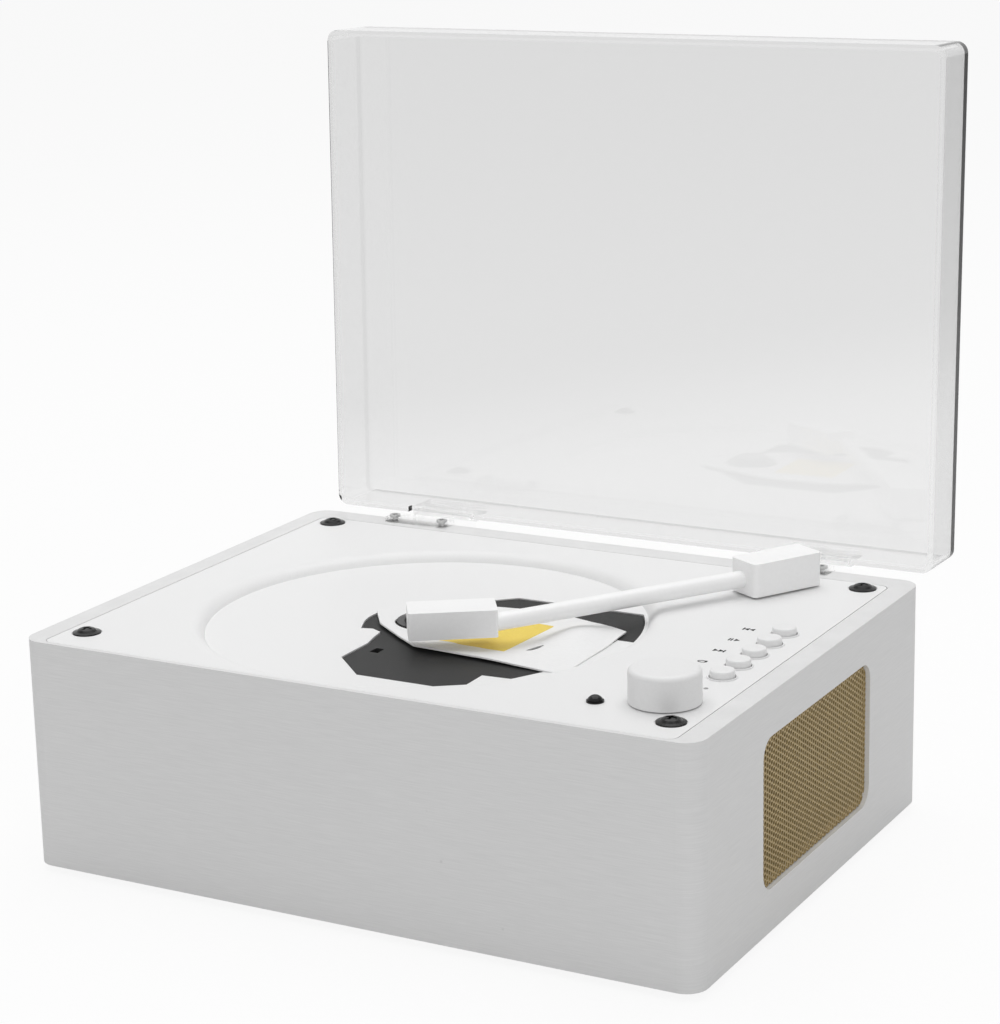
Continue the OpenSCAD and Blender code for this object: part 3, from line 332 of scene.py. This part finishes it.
# %% Core mask
CORE_HALF = (117.7 * MM, 87 * MM, 35.3 * MM)
CORE_BROWN = (0.13, 0.09, 0.055, 1)
tree = case_foil.node_tree
place = tree.nodes.new("ShaderNodeTexCoord")
from_middle = tree.nodes.new("ShaderNodeVectorMath")
from_middle.operation = "SUBTRACT"
from_middle.inputs[1].default_value = at(0, WINDOW_Y, WINDOW_Z)
distance = tree.nodes.new("ShaderNodeVectorMath")
distance.operation = "ABSOLUTE"
past = tree.nodes.new("ShaderNodeVectorMath")
past.operation = "SUBTRACT"
past.inputs[1].default_value = CORE_HALF
axes = tree.nodes.new("ShaderNodeSeparateXYZ")
most = tree.nodes.new("ShaderNodeMath")
most.operation = "MAXIMUM"
most_of_all = tree.nodes.new("ShaderNodeMath")
most_of_all.operation = "MAXIMUM"
within = tree.nodes.new("ShaderNodeMath")
within.operation = "LESS_THAN"
within.inputs[1].default_value = 0
core = tree.nodes.new("ShaderNodeMix")
core.data_type = "RGBA"
core.inputs[7].default_value = CORE_BROWN
shader = tree.nodes["Principled BSDF"]
foil_colour = shader.inputs["Base Color"].links[0].from_socket
tree.links.new(place.outputs["Object"], from_middle.inputs[0])
tree.links.new(from_middle.outputs[0], distance.inputs[0])
tree.links.new(distance.outputs[0], past.inputs[0])
tree.links.new(past.outputs[0], axes.inputs[0])
tree.links.new(axes.outputs[0], most.inputs[0])
tree.links.new(axes.outputs[1], most.inputs[1])
tree.links.new(most.outputs[0], most_of_all.inputs[0])
tree.links.new(axes.outputs[2], most_of_all.inputs[1])
tree.links.new(most_of_all.outputs[0], within.inputs[0])
tree.links.new(within.outputs[0], core.inputs["Factor"])
tree.links.new(foil_colour, core.inputs[6])
tree.links.new(core.outputs[2], shader.inputs["Base Color"])
print("core mask:", len(tree.nodes), "nodes in case_foil")

# %% [markdown]
# ## Clear acrylic
# Glass casts a black shadow in a path tracer without caustics, although a real sheet lets
# nearly all light through, so shadow rays pass a transparent shader. Both shaders stay in the
# material itself. The cover's sheet looks paler low down, where it mirrors the white case, so a
# small group paints that reflection into its colour: a painted reflection, pale near the case
# and greyer above. The change leans, so that it lies higher on the right than on the left.

# %% Cover painted reflection group
# Heights where the painted reflection of the white case fades from pale to grey.
PALE_BELOW, GREY_ABOVE = 95 * MM, 150 * MM
LEAN = -0.22
cover_painted_reflection = bpy.data.node_groups.new("cover_painted_reflection", "ShaderNodeTree")
socket(cover_painted_reflection, "Colour", "NodeSocketColor", "OUTPUT")
inside = cover_painted_reflection.nodes
link = cover_painted_reflection.links.new
group_out = inside.new("NodeGroupOutput")
place = inside.new("ShaderNodeTexCoord")
parts = inside.new("ShaderNodeSeparateXYZ")
slope = inside.new("ShaderNodeMath")
slope.operation = "MULTIPLY_ADD"
slope.inputs[1].default_value = LEAN
rise = inside.new("ShaderNodeMapRange")
rise.interpolation_type = "SMOOTHSTEP"
rise.inputs["From Min"].default_value = PALE_BELOW
rise.inputs["From Max"].default_value = GREY_ABOVE
tone = inside.new("ShaderNodeMix")
tone.data_type = "RGBA"
tone.inputs[6].default_value = (*grey(0.85), 1)
tone.inputs[7].default_value = (*grey(0.77), 1)
link(place.outputs["Object"], parts.inputs[0])
link(parts.outputs["X"], slope.inputs[0])
link(parts.outputs["Z"], slope.inputs[2])
link(slope.outputs[0], rise.inputs["Value"])
link(rise.outputs[0], tone.inputs["Factor"])
link(tone.outputs[2], group_out.inputs["Colour"])
print("cover_painted_reflection:", len(inside), "nodes")

# %% Clear finishes
def acrylic(name, tint, ior=1.49, alpha=1.0):
    """Smooth clear sheet that lets shadow rays through."""
    material = bpy.data.materials.new(name)
    material.use_nodes = True
    tree = material.node_tree
    shader = tree.nodes["Principled BSDF"]
    shader.inputs["Base Color"].default_value = (*tint, 1)
    shader.inputs["Roughness"].default_value = 0
    shader.inputs["IOR"].default_value = ior
    shader.inputs["Alpha"].default_value = alpha
    shader.inputs["Transmission Weight"].default_value = 1
    through = tree.nodes.new("ShaderNodeBsdfTransparent")
    through.inputs["Color"].default_value = (*grey(0.95), 1)
    rays = tree.nodes.new("ShaderNodeLightPath")
    mix = tree.nodes.new("ShaderNodeMixShader")
    tree.links.new(rays.outputs["Is Shadow Ray"], mix.inputs[0])
    tree.links.new(shader.outputs[0], mix.inputs[1])
    tree.links.new(through.outputs[0], mix.inputs[2])
    tree.links.new(mix.outputs[0], tree.nodes["Material Output"].inputs["Surface"])
    return material


cover_clear = acrylic("cover_clear", grey(0.80))
hinge_clear = acrylic("hinge_clear", grey(0.95), ior=1.18, alpha=0.35)
# The cover's base colour is a painted reflection of the white case: pale near the case, greyer
# above.
tree = cover_clear.node_tree
shade = tree.nodes.new("ShaderNodeGroup")
shade.node_tree = cover_painted_reflection
tree.links.new(shade.outputs["Colour"], tree.nodes["Principled BSDF"].inputs["Base Color"])
print("clear finishes ready")

# %% [markdown]
# ## Painting the CAD nodes
# Each solid is one real piece, so it gets the finish of that piece.

# %% Paint the nodes
paint = {
    case_foil: ["front_board", "back_board", "side_boards"],
    panel_white: ["top_panel"],
    arm_white: ["arm_pivot_block", "arm_tube", "arm_head_shell"],
    knob_white: ["volume_knob", "button_previous", "button_play", "button_next", "button_mode",
                 "button_power"],
    raw_wood: ["corner_posts"],
    fibreboard: ["bottom_board", "speaker_baffles"],
    foot_rubber: ["rubber_feet", "deck_grommets"],
    screw_black: ["panel_screws", "rear_plate_screws"],
    bright_steel: ["wood_screws", "board_spacers", "control_board_screws", "deck_screws",
                   "encoder_nut", "encoder_shaft", "arm_pivot_post", "spindle_shaft",
                   "disc_grip_balls", "guide_rods", "hinge_base_screws", "button_switches"],
    motor_steel: ["spindle_motor", "feed_motor", "speaker_magnets", "encoder_body"],
    bronze_mesh: ["side_grilles"],
    basket_black: ["speaker_baskets"],
    cone_paper: ["speaker_cones"],
    deck_black: ["drive_deck", "pickup_sled"],
    hub_black: ["turntable_hub"],
    receiver_black: ["remote_receiver"],
    chip_black: ["rear_socket_plate", "power_inlet", "line_out_socket", "main_board_parts"],
    circuit_green: ["main_board", "control_board"],
    nylon: ["feed_gear", "feed_motor_pinion", "arm_washer"],
    lamp_dark: ["status_lamp"],
    lens_blue: ["pickup_lens"],
    card_white: ["lens_guard_card"],
    cover_clear: ["dust_cover"],
    hinge_clear: ["hinge_bases", "hinge_leaves", "hinge_pins"],
}
painted = 0
for material, names in paint.items():
    for name in names:
        nodes[name].data.materials.clear()
        nodes[name].data.materials.append(material)
        painted += 1
print("painted", painted, "of", len(nodes))

# %% [markdown]
# ## Perforated grille
# Behind each window in the sides is a bronze-coloured sheet with round holes in a staggered
# pattern. One hexagonal cell with a round hole is modelled, two array modifiers repeat it,
# planes cut the sheet to the window's outline, and a Solidify modifier gives it thickness.

# %% One cell of the grille
HOLE_STEP = 1.9 * MM
COLUMN_STEP = HOLE_STEP * math.cos(math.radians(30))
HOLE_INSET = 0.25 * MM
HOLE_SIDES = 12


def grille_cell():
    """A flat hexagon with a twelve-sided hole, in the XY plane."""
    start()
    bpy.ops.mesh.primitive_circle_add(vertices=6, radius=HOLE_STEP / math.sqrt(3),
                                      fill_type="NGON", rotation=(0, 0, math.radians(90)))
    cell = bpy.context.object
    bpy.ops.object.transform_apply(location=False, rotation=True, scale=False)
    bpy.ops.object.mode_set(mode="EDIT")
    bpy.ops.mesh.select_all(action="SELECT")
    bpy.ops.mesh.subdivide(number_cuts=1)
    # Leaving edit mode brings the face count up to date. A split face is merged again.
    bpy.ops.object.mode_set(mode="OBJECT")
    bpy.ops.object.mode_set(mode="EDIT")
    bpy.ops.mesh.select_all(action="SELECT")
    if len(cell.data.polygons) > 1:
        bpy.ops.mesh.dissolve_faces()
        bpy.ops.mesh.select_all(action="SELECT")
    bpy.ops.mesh.inset(thickness=HOLE_INSET, depth=0)
    bpy.ops.transform.tosphere(value=1)
    bpy.ops.mesh.delete(type="ONLY_FACE")
    bpy.ops.object.mode_set(mode="OBJECT")
    return cell


cell = grille_cell()
hole_radii = sorted(v.co.length for v in cell.data.vertices)[:HOLE_SIDES]
print("cell:", len(cell.data.polygons), "faces, hole radius",
      round(sum(hole_radii) / HOLE_SIDES / MM, 3), "mm")

# %% [markdown]
# The pattern repeats every two columns, because each column is staggered by half a step, so
# the unit that the array repeats is a pair of cells. The sheet is made larger than the window
# and cut by planes: four for its sides and five round each corner.

# %% The sheet
GRILLE_W, GRILLE_H, GRILLE_R = 86.6 * MM, 48.6 * MM, 6.2 * MM
SHEET_T = 0.5 * MM
CORNER_CUTS = 5
only(cell)
bpy.ops.object.duplicate()
second = bpy.context.object
second.location = (COLUMN_STEP, HOLE_STEP / 2, 0)
bpy.ops.object.transform_apply(location=True, rotation=False, scale=False)
sheet = joined([cell, second])
columns, rows = 28, 28
for count, offset in ((columns, (2 * COLUMN_STEP, 0, 0)), (rows, (0, HOLE_STEP, 0))):
    array = sheet.modifiers.new("repeat", "ARRAY")
    array.use_relative_offset = False
    array.use_constant_offset = True
    array.constant_offset_displace = offset
    array.count = count
    bpy.ops.object.modifier_apply(modifier=array.name)
sheet.location = (-(columns - 0.5) * COLUMN_STEP, -(rows - 0.5) * HOLE_STEP / 2, 0)
bpy.ops.object.transform_apply(location=True, rotation=False, scale=False)
bpy.ops.object.mode_set(mode="EDIT")
bpy.ops.mesh.select_all(action="SELECT")
bpy.ops.mesh.remove_doubles(threshold=0.02 * MM)


def cut(x, y, angle):
    """Clears what lies beyond a line through a point. The angle is that of its normal."""
    bpy.ops.mesh.select_all(action="SELECT")
    bpy.ops.mesh.bisect(plane_co=(x, y, 0), clear_outer=True,
                        plane_no=(math.cos(angle), math.sin(angle), 0))


for side in range(4):
    angle = side * math.pi / 2
    reach = GRILLE_W / 2 if side % 2 == 0 else GRILLE_H / 2
    cut(reach * math.cos(angle), reach * math.sin(angle), angle)
    sx, sy = ((1, 1), (-1, 1), (-1, -1), (1, -1))[side]
    centre = (sx * (GRILLE_W / 2 - GRILLE_R), sy * (GRILLE_H / 2 - GRILLE_R))
    for step in range(1, CORNER_CUTS + 1):
        bend = angle + step * math.pi / 2 / (CORNER_CUTS + 1)
        cut(centre[0] + GRILLE_R * math.cos(bend), centre[1] + GRILLE_R * math.sin(bend), bend)
bpy.ops.object.mode_set(mode="OBJECT")
thick = sheet.modifiers.new("thickness", "SOLIDIFY")
thick.thickness = SHEET_T
thick.offset = 0
bpy.ops.object.modifier_apply(modifier=thick.name)
print("grille sheet:", len(sheet.data.polygons), "faces")

# %% [markdown]
# The finished sheet stands upright just inside each window. The second one is a copy with its
# own mesh, so that both can have their place in the mesh.

# %% Place both grilles
SHEET_IN = 1.7
only(sheet)
bpy.ops.object.duplicate()
other_sheet = bpy.context.object
for sheet_copy, side in ((sheet, 1), (other_sheet, -1)):
    window = Matrix.Translation(at(side * (CASE_HALF_W - SHEET_IN), WINDOW_Y, WINDOW_Z))
    upright = Matrix(((0, 0, side, 0), (side, 0, 0, 0), (0, 1, 0, 0), (0, 0, 0, 1)))
    sheet_copy.matrix_world = window @ upright
    name = "grille_sheet_right" if side == 1 else "grille_sheet_left"
    settle(sheet_copy, name, bronze_mesh, "player")
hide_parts("side_grilles")
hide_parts("side_grilles")

# %% [markdown]
# ## Lens-guard card
# A new player has a loose white card over its lens. Its left and front edges show inside the
# panel's opening, and its right edge lies on the panel. Its right half bulges and its front
# edge curls up, because it was rolled in its box. A fine grid is cut along the card's outline
# by planes. Points of equal height are then raised together, one height after another, which
# bends the sheet, and a Solidify modifier makes it a thick card. The card's own measures are
# taken from the well's middle in x and from the case's front in y.

# %% Card outline
WELL_X, WELL_Y = -14.7, 80.2
CARD_BOTTOM = FLOOR + 0.03
CARD_T = 0.5
GRID_MIDDLE = Vector((22, 77.5, 0)) * MM
GRID_W, GRID_D = 90 * MM, 60 * MM
outline = [(-21.6, 84.2), (-19, 80.2), (-12.2, 70.4), (0.7, 60.5), (10.7, 53.5), (59.6, 50.2),
           (66.2, 49.7), (66, 80), (64.8, 97.1), (41, 104.8), (21, 105.6), (14, 104.6),
           (5, 101.5), (-9, 96.5), (-19, 91)]


def trim(points):
    """Cuts the selected sheet along a convex outline that runs anticlockwise."""
    for (x0, y0), (x1, y1) in zip(points, points[1:] + points[:1]):
        outwards = Vector((y1 - y0, x0 - x1, 0)).normalized()
        bpy.ops.mesh.select_all(action="SELECT")
        bpy.ops.mesh.bisect(plane_co=(x0 * MM, y0 * MM, 0), plane_no=outwards, clear_outer=True)


start()
bpy.ops.mesh.primitive_grid_add(x_subdivisions=60, y_subdivisions=38, size=1,
                                location=GRID_MIDDLE)
card = bpy.context.object
card.scale = (GRID_W, GRID_D, 1)
bpy.ops.object.transform_apply(location=True, rotation=False, scale=True)
bpy.ops.object.mode_set(mode="EDIT")
trim(outline)
bpy.ops.object.mode_set(mode="OBJECT")
print("card:", len(card.data.polygons), "faces")

# %% Bulge
BULGE_X, BULGE_Y, BULGE_W, BULGE_D, BULGE_H = 41, 62, 26, 42, 3.4
FRONT_X, FRONT_Y = 10.7, 53.5
LEFT_SLOPE, FRONT_SLOPE = 0.738, 0.0675
CURL_H, CURL_DEPTH, CURL_END, CURL_FADE = 0.8, 14, 59, 20


def share(value):
    """Keeps a value between none and all."""
    return max(0.0, min(1.0, value))


def bulge(x, y):
    """How far a point of the card stands above its flat place, in millimetres."""
    along = share((x - BULGE_X) / BULGE_W)
    across = share((y - BULGE_Y) / BULGE_D)
    front = FRONT_Y - (x - FRONT_X) * (LEFT_SLOPE if x < FRONT_X else FRONT_SLOPE)
    curl = max(0.0, 1 - (y - front) / CURL_DEPTH) ** 2 * share((CURL_END - x) / CURL_FADE)
    dome = (math.sin(math.pi * along) * math.sin(math.pi * across)) ** 2
    return BULGE_H * dome + CURL_H * curl


heights = sorted({round(bulge(v.co.x / MM, v.co.y / MM), 1) for v in card.data.vertices})
for height in heights[1:]:
    only(card)
    bpy.ops.object.mode_set(mode="EDIT")
    bpy.ops.mesh.select_all(action="DESELECT")
    bpy.ops.object.mode_set(mode="OBJECT")
    for v in card.data.vertices:
        v.select = round(bulge(v.co.x / MM, v.co.y / MM), 1) == height
    bpy.ops.object.mode_set(mode="EDIT")
    bpy.ops.transform.translate(value=(0, 0, height * MM))
    bpy.ops.object.mode_set(mode="OBJECT")
only(card)
bpy.ops.object.mode_set(mode="EDIT")
bpy.ops.mesh.select_all(action="SELECT")
bpy.ops.mesh.vertices_smooth(factor=0.5, repeat=3, xaxis=False, yaxis=False)
bpy.ops.object.mode_set(mode="OBJECT")
thick = card.modifiers.new("thickness", "SOLIDIFY")
thick.thickness = CARD_T * MM
thick.offset = 1
bpy.ops.object.modifier_apply(modifier=thick.name)
print("raised in", len(heights) - 1, "steps, top", round(card.dimensions.z / MM, 2), "mm")

# %% [markdown]
# Two Boolean cuts finish the card: a round hole for the turntable, and a short curved slit.

# %% Hub hole and slit
def cut_away(piece, cutter):
    """Subtracts one piece from another."""
    only(piece)
    taken = piece.modifiers.new("cut", "BOOLEAN")
    taken.object = cutter
    taken.operation = "DIFFERENCE"
    bpy.ops.object.modifier_apply(modifier=taken.name)
    bpy.data.objects.remove(cutter)


HUB_HOLE_R = 10.6 * MM
SLIT_X, SLIT_Y, SLIT_R, SLIT_TURN = 46.6 * MM, 68.4 * MM, 3.2 * MM, -33
SLIT_NARROWING = 0.28
start()
bpy.ops.mesh.primitive_cylinder_add(vertices=64, radius=HUB_HOLE_R, depth=6 * MM,
                                    location=(0, WELL_Y * MM, 0))
cut_away(card, bpy.context.object)
start()
bpy.ops.mesh.primitive_cylinder_add(vertices=32, radius=SLIT_R, depth=8 * MM,
                                    location=(SLIT_X, SLIT_Y, 0))
slit_cutter = bpy.context.object
slit_cutter.scale = (SLIT_NARROWING, 1, 1)
slit_cutter.rotation_euler = (0, 0, math.radians(SLIT_TURN))
bpy.ops.object.transform_apply(location=False, rotation=True, scale=True)
cut_away(card, slit_cutter)
card.location = at(WELL_X, 0, CARD_BOTTOM)
settle(card, "curled_card", card_white, "player", ["lens_guard_card"])
bpy.ops.object.shade_smooth_by_angle(angle=math.radians(30))
print("curled_card:", len(card.data.polygons), "faces")

# %% [markdown]
# ## Yellow label
# A plain yellow paper label is stuck to the card. Its corners are rounded by a bevel of the
# plane's four corners.

# %% Label
LABEL_W, LABEL_D, LABEL_T, LABEL_R = 25 * MM, 33 * MM, 0.06 * MM, 0.8 * MM
LABEL_X, LABEL_Y, LABEL_TURN = 27.3, 77, -4
LABEL_LIFT = 0.01
start()
bpy.ops.mesh.primitive_plane_add(size=1)
label = bpy.context.object
label.scale = (LABEL_W, LABEL_D, 1)
bpy.ops.object.transform_apply(location=False, rotation=False, scale=True)
bpy.ops.object.mode_set(mode="EDIT")
bpy.ops.mesh.select_all(action="SELECT")
bpy.ops.mesh.bevel(offset=LABEL_R, segments=4, affect="VERTICES")
bpy.ops.mesh.extrude_region_move(TRANSFORM_OT_translate={"value": (0, 0, LABEL_T)})
bpy.ops.mesh.select_all(action="SELECT")
bpy.ops.mesh.normals_make_consistent(inside=False)
bpy.ops.object.mode_set(mode="OBJECT")
label.rotation_euler = (0, 0, math.radians(LABEL_TURN))
label.location = at(WELL_X + LABEL_X, LABEL_Y, CARD_BOTTOM + CARD_T + LABEL_LIFT)
settle(label, "yellow_label", label_yellow, "player")
print("yellow_label", [round(d / MM, 2) for d in label.dimensions])

# %% [markdown]
# ## Button symbols
# Each button has its usual symbol printed beside it in black. A symbol is made of flat bars,
# triangles and rings, with a thickness of a few hundredths of a millimetre, as ink has.

# %% Symbol shapes
INK = 0.04 * MM
SYMBOL_H = 2.3 * MM
TRIANGLE_R = 1.15 * MM


def inked(shape):
    """Gives a flat shape the thickness of ink."""
    only(shape)
    bpy.ops.object.transform_apply(location=True, rotation=True, scale=True)
    bpy.ops.object.mode_set(mode="EDIT")
    bpy.ops.mesh.select_all(action="SELECT")
    bpy.ops.mesh.extrude_region_move(TRANSFORM_OT_translate={"value": (0, 0, INK)})
    bpy.ops.mesh.select_all(action="SELECT")
    bpy.ops.mesh.normals_make_consistent(inside=False)
    bpy.ops.object.mode_set(mode="OBJECT")
    return shape


def bar(x, y=0.0, width=0.5, height=SYMBOL_H / MM):
    """An upright bar."""
    start()
    bpy.ops.mesh.primitive_plane_add(size=1, location=(x * MM, y * MM, 0))
    shape = bpy.context.object
    shape.scale = (width * MM, height * MM, 1)
    return inked(shape)


def triangle(x, way):
    """A triangle that points right (way 1) or left (way -1)."""
    start()
    bpy.ops.mesh.primitive_circle_add(vertices=3, radius=1, fill_type="NGON",
                                      location=(x * MM, 0, 0))
    shape = bpy.context.object
    shape.rotation_euler = (0, 0, math.radians(-90 * way))
    bpy.ops.object.transform_apply(location=False, rotation=True, scale=False)
    shape.scale = (TRIANGLE_R, SYMBOL_H / math.sqrt(3), 1)
    return inked(shape)


def ring(radius, width, stretch=1.0):
    """A ring of ink, or an oval with round ends."""
    start()
    bpy.ops.mesh.primitive_circle_add(vertices=32, radius=radius * MM, fill_type="NGON")
    shape = bpy.context.object
    shape.scale = (stretch, 1, 1)
    bpy.ops.object.transform_apply(location=False, rotation=False, scale=True)
    bpy.ops.object.mode_set(mode="EDIT")
    bpy.ops.mesh.select_all(action="SELECT")
    bpy.ops.mesh.inset(thickness=width * MM, depth=0)
    bpy.ops.mesh.delete(type="ONLY_FACE")
    bpy.ops.object.mode_set(mode="OBJECT")
    return inked(shape)


print("symbol height", SYMBOL_H / MM, "mm")

# %% Symbols beside the buttons
SYMBOL_X = 89
INK_LIFT = 0.005
symbols = [
    ("mark_previous", 107.5, [lambda: bar(-2.0), lambda: triangle(-0.75, -1),
                              lambda: triangle(1.1, -1)]),
    ("mark_play", 95.3, [lambda: bar(-1.6), lambda: bar(-0.75), lambda: triangle(0.8, 1)]),
    ("mark_next", 83.2, [lambda: triangle(-1.1, 1), lambda: triangle(0.75, 1),
                         lambda: bar(2.0)]),
    ("mark_mode", 71.0, [lambda: ring(1.0, 0.42, 1.6), lambda: bar(1.1, 0.6, 0.9, 0.9)]),
    ("mark_power", 59.3, [lambda: ring(1.05, 0.42), lambda: bar(0, 0.75, 0.34, 1.1)]),
]
for name, y, shapes in symbols:
    mark = joined([shape() for shape in shapes])
    mark.location = at(SYMBOL_X, y, TOP + INK_LIFT)
    settle(mark, name, print_black, "player")
    print(name, [round(d / MM, 2) for d in mark.dimensions])

# %% [markdown]
# ## Button collars
# Each button stands in a low ring that is moulded on the panel. One ring is made by inset and
# extrude, its rim is rounded, and four copies with their own meshes follow.

# %% Collars
COLLAR_R, COLLAR_WALL, COLLAR_H, COLLAR_ROUND = 4.75 * MM, 0.5 * MM, 0.5 * MM, 0.15 * MM
COLLAR_SUNK = 0.1
BUTTON_X, FIRST_BUTTON_Y, BUTTON_STEP = 101, 59.5, 12
start()
bpy.ops.mesh.primitive_circle_add(vertices=64, radius=COLLAR_R, fill_type="NGON")
collar = bpy.context.object
bpy.ops.object.mode_set(mode="EDIT")
bpy.ops.mesh.select_all(action="SELECT")
bpy.ops.mesh.inset(thickness=COLLAR_WALL, depth=0)
bpy.ops.mesh.delete(type="ONLY_FACE")
bpy.ops.mesh.select_all(action="SELECT")
bpy.ops.mesh.extrude_region_move(TRANSFORM_OT_translate={"value": (0, 0, COLLAR_H)})
bpy.ops.mesh.select_all(action="SELECT")
bpy.ops.mesh.normals_make_consistent(inside=False)
bpy.ops.object.mode_set(mode="OBJECT")
round_rim = collar.modifiers.new("round_rim", "BEVEL")
round_rim.width = COLLAR_ROUND
round_rim.segments = 2
round_rim.limit_method = "ANGLE"
bpy.ops.object.modifier_apply(modifier=round_rim.name)
collars = [collar]
for _ in range(4):
    only(collar)
    bpy.ops.object.duplicate()
    collars.append(bpy.context.object)
for number, ring_piece in enumerate(collars):
    ring_piece.location = at(BUTTON_X, FIRST_BUTTON_Y + BUTTON_STEP * number, TOP - COLLAR_SUNK)
    settle(ring_piece, "button_collar_%d" % (number + 1), panel_white, "player")
    bpy.ops.object.shade_smooth_by_angle(angle=math.radians(30))
print(len(collars), "collars")

# %% [markdown]
# ## Floor and light
# The player stands on a pale floor under soft studio light: a large lamp above and a weaker one
# in front. What the camera sees of the floor, straight or through the cover, is mostly plain
# white, and everything else is lit by the floor's own pale colour. The surroundings are plain
# white where they are seen or mirrored and dimmer where they light the player.

# %% Floor
WHITE_SHARE = 0.9
start()
bpy.ops.mesh.primitive_plane_add(size=14)
floor = bpy.context.object
floor.name = "floor"
floor_material = bpy.data.materials.new("studio_floor")
floor_material.use_nodes = True
tree = floor_material.node_tree
shader = tree.nodes["Principled BSDF"]
shader.inputs["Base Color"].default_value = (*grey(0.86), 1)
shader.inputs["Roughness"].default_value = 0.9
shader.inputs["Specular IOR Level"].default_value = 0.1
white = tree.nodes.new("ShaderNodeEmission")
rays = tree.nodes.new("ShaderNodeLightPath")
seen = tree.nodes.new("ShaderNodeMath")
seen.operation = "MULTIPLY"
seen.inputs[1].default_value = WHITE_SHARE
any_ray = tree.nodes.new("ShaderNodeMath")
any_ray.operation = "MAXIMUM"
mix = tree.nodes.new("ShaderNodeMixShader")
tree.links.new(rays.outputs["Is Camera Ray"], any_ray.inputs[0])
tree.links.new(rays.outputs["Is Transmission Ray"], any_ray.inputs[1])
tree.links.new(any_ray.outputs[0], seen.inputs[0])
tree.links.new(seen.outputs[0], mix.inputs[0])
tree.links.new(shader.outputs[0], mix.inputs[1])
tree.links.new(white.outputs[0], mix.inputs[2])
tree.links.new(mix.outputs[0], tree.nodes["Material Output"].inputs["Surface"])
floor.data.materials.append(floor_material)
print("floor", tuple(floor.dimensions))

# %% Light
def lamp(name, place, target, size, power):
    """A square soft lamp that faces a point."""
    data = bpy.data.lights.new(name, "AREA")
    data.size = size
    data.energy = power
    light = bpy.data.objects.new(name, data)
    bpy.context.collection.objects.link(light)
    light.location = place
    light.rotation_euler = (Vector(target) - Vector(place)).to_track_quat("-Z", "Y").to_euler()


AIM = (0, 0, 0.1)
lamp("softbox_above", (-0.1, 0.25, 1.5), AIM, size=1.6, power=14)
lamp("fill_front", (0.9, -1.6, 0.9), AIM, size=1.4, power=5.4)
world = bpy.data.worlds.new("studio")
bpy.context.scene.world = world
world.use_nodes = True
tree = world.node_tree
background = tree.nodes["Background"]
background.inputs["Color"].default_value = (1, 1, 1, 1)
rays = tree.nodes.new("ShaderNodeLightPath")
direct = tree.nodes.new("ShaderNodeMath")
direct.operation = "MAXIMUM"
any_view = tree.nodes.new("ShaderNodeMath")
any_view.operation = "MAXIMUM"
level = tree.nodes.new("ShaderNodeMapRange")
level.inputs["To Min"].default_value = 0.47
level.inputs["To Max"].default_value = 1.0
tree.links.new(rays.outputs["Is Camera Ray"], direct.inputs[0])
tree.links.new(rays.outputs["Is Glossy Ray"], direct.inputs[1])
tree.links.new(direct.outputs[0], any_view.inputs[0])
tree.links.new(rays.outputs["Is Transmission Ray"], any_view.inputs[1])
tree.links.new(any_view.outputs[0], level.inputs["Value"])
tree.links.new(level.outputs[0], background.inputs["Strength"])
bpy.context.scene.view_settings.view_transform = "Standard"
print("lamps ready")

# %% [markdown]
# ## Finish
# The last step brings the view layer up to date.

# %% Finish
bpy.context.view_layer.update()
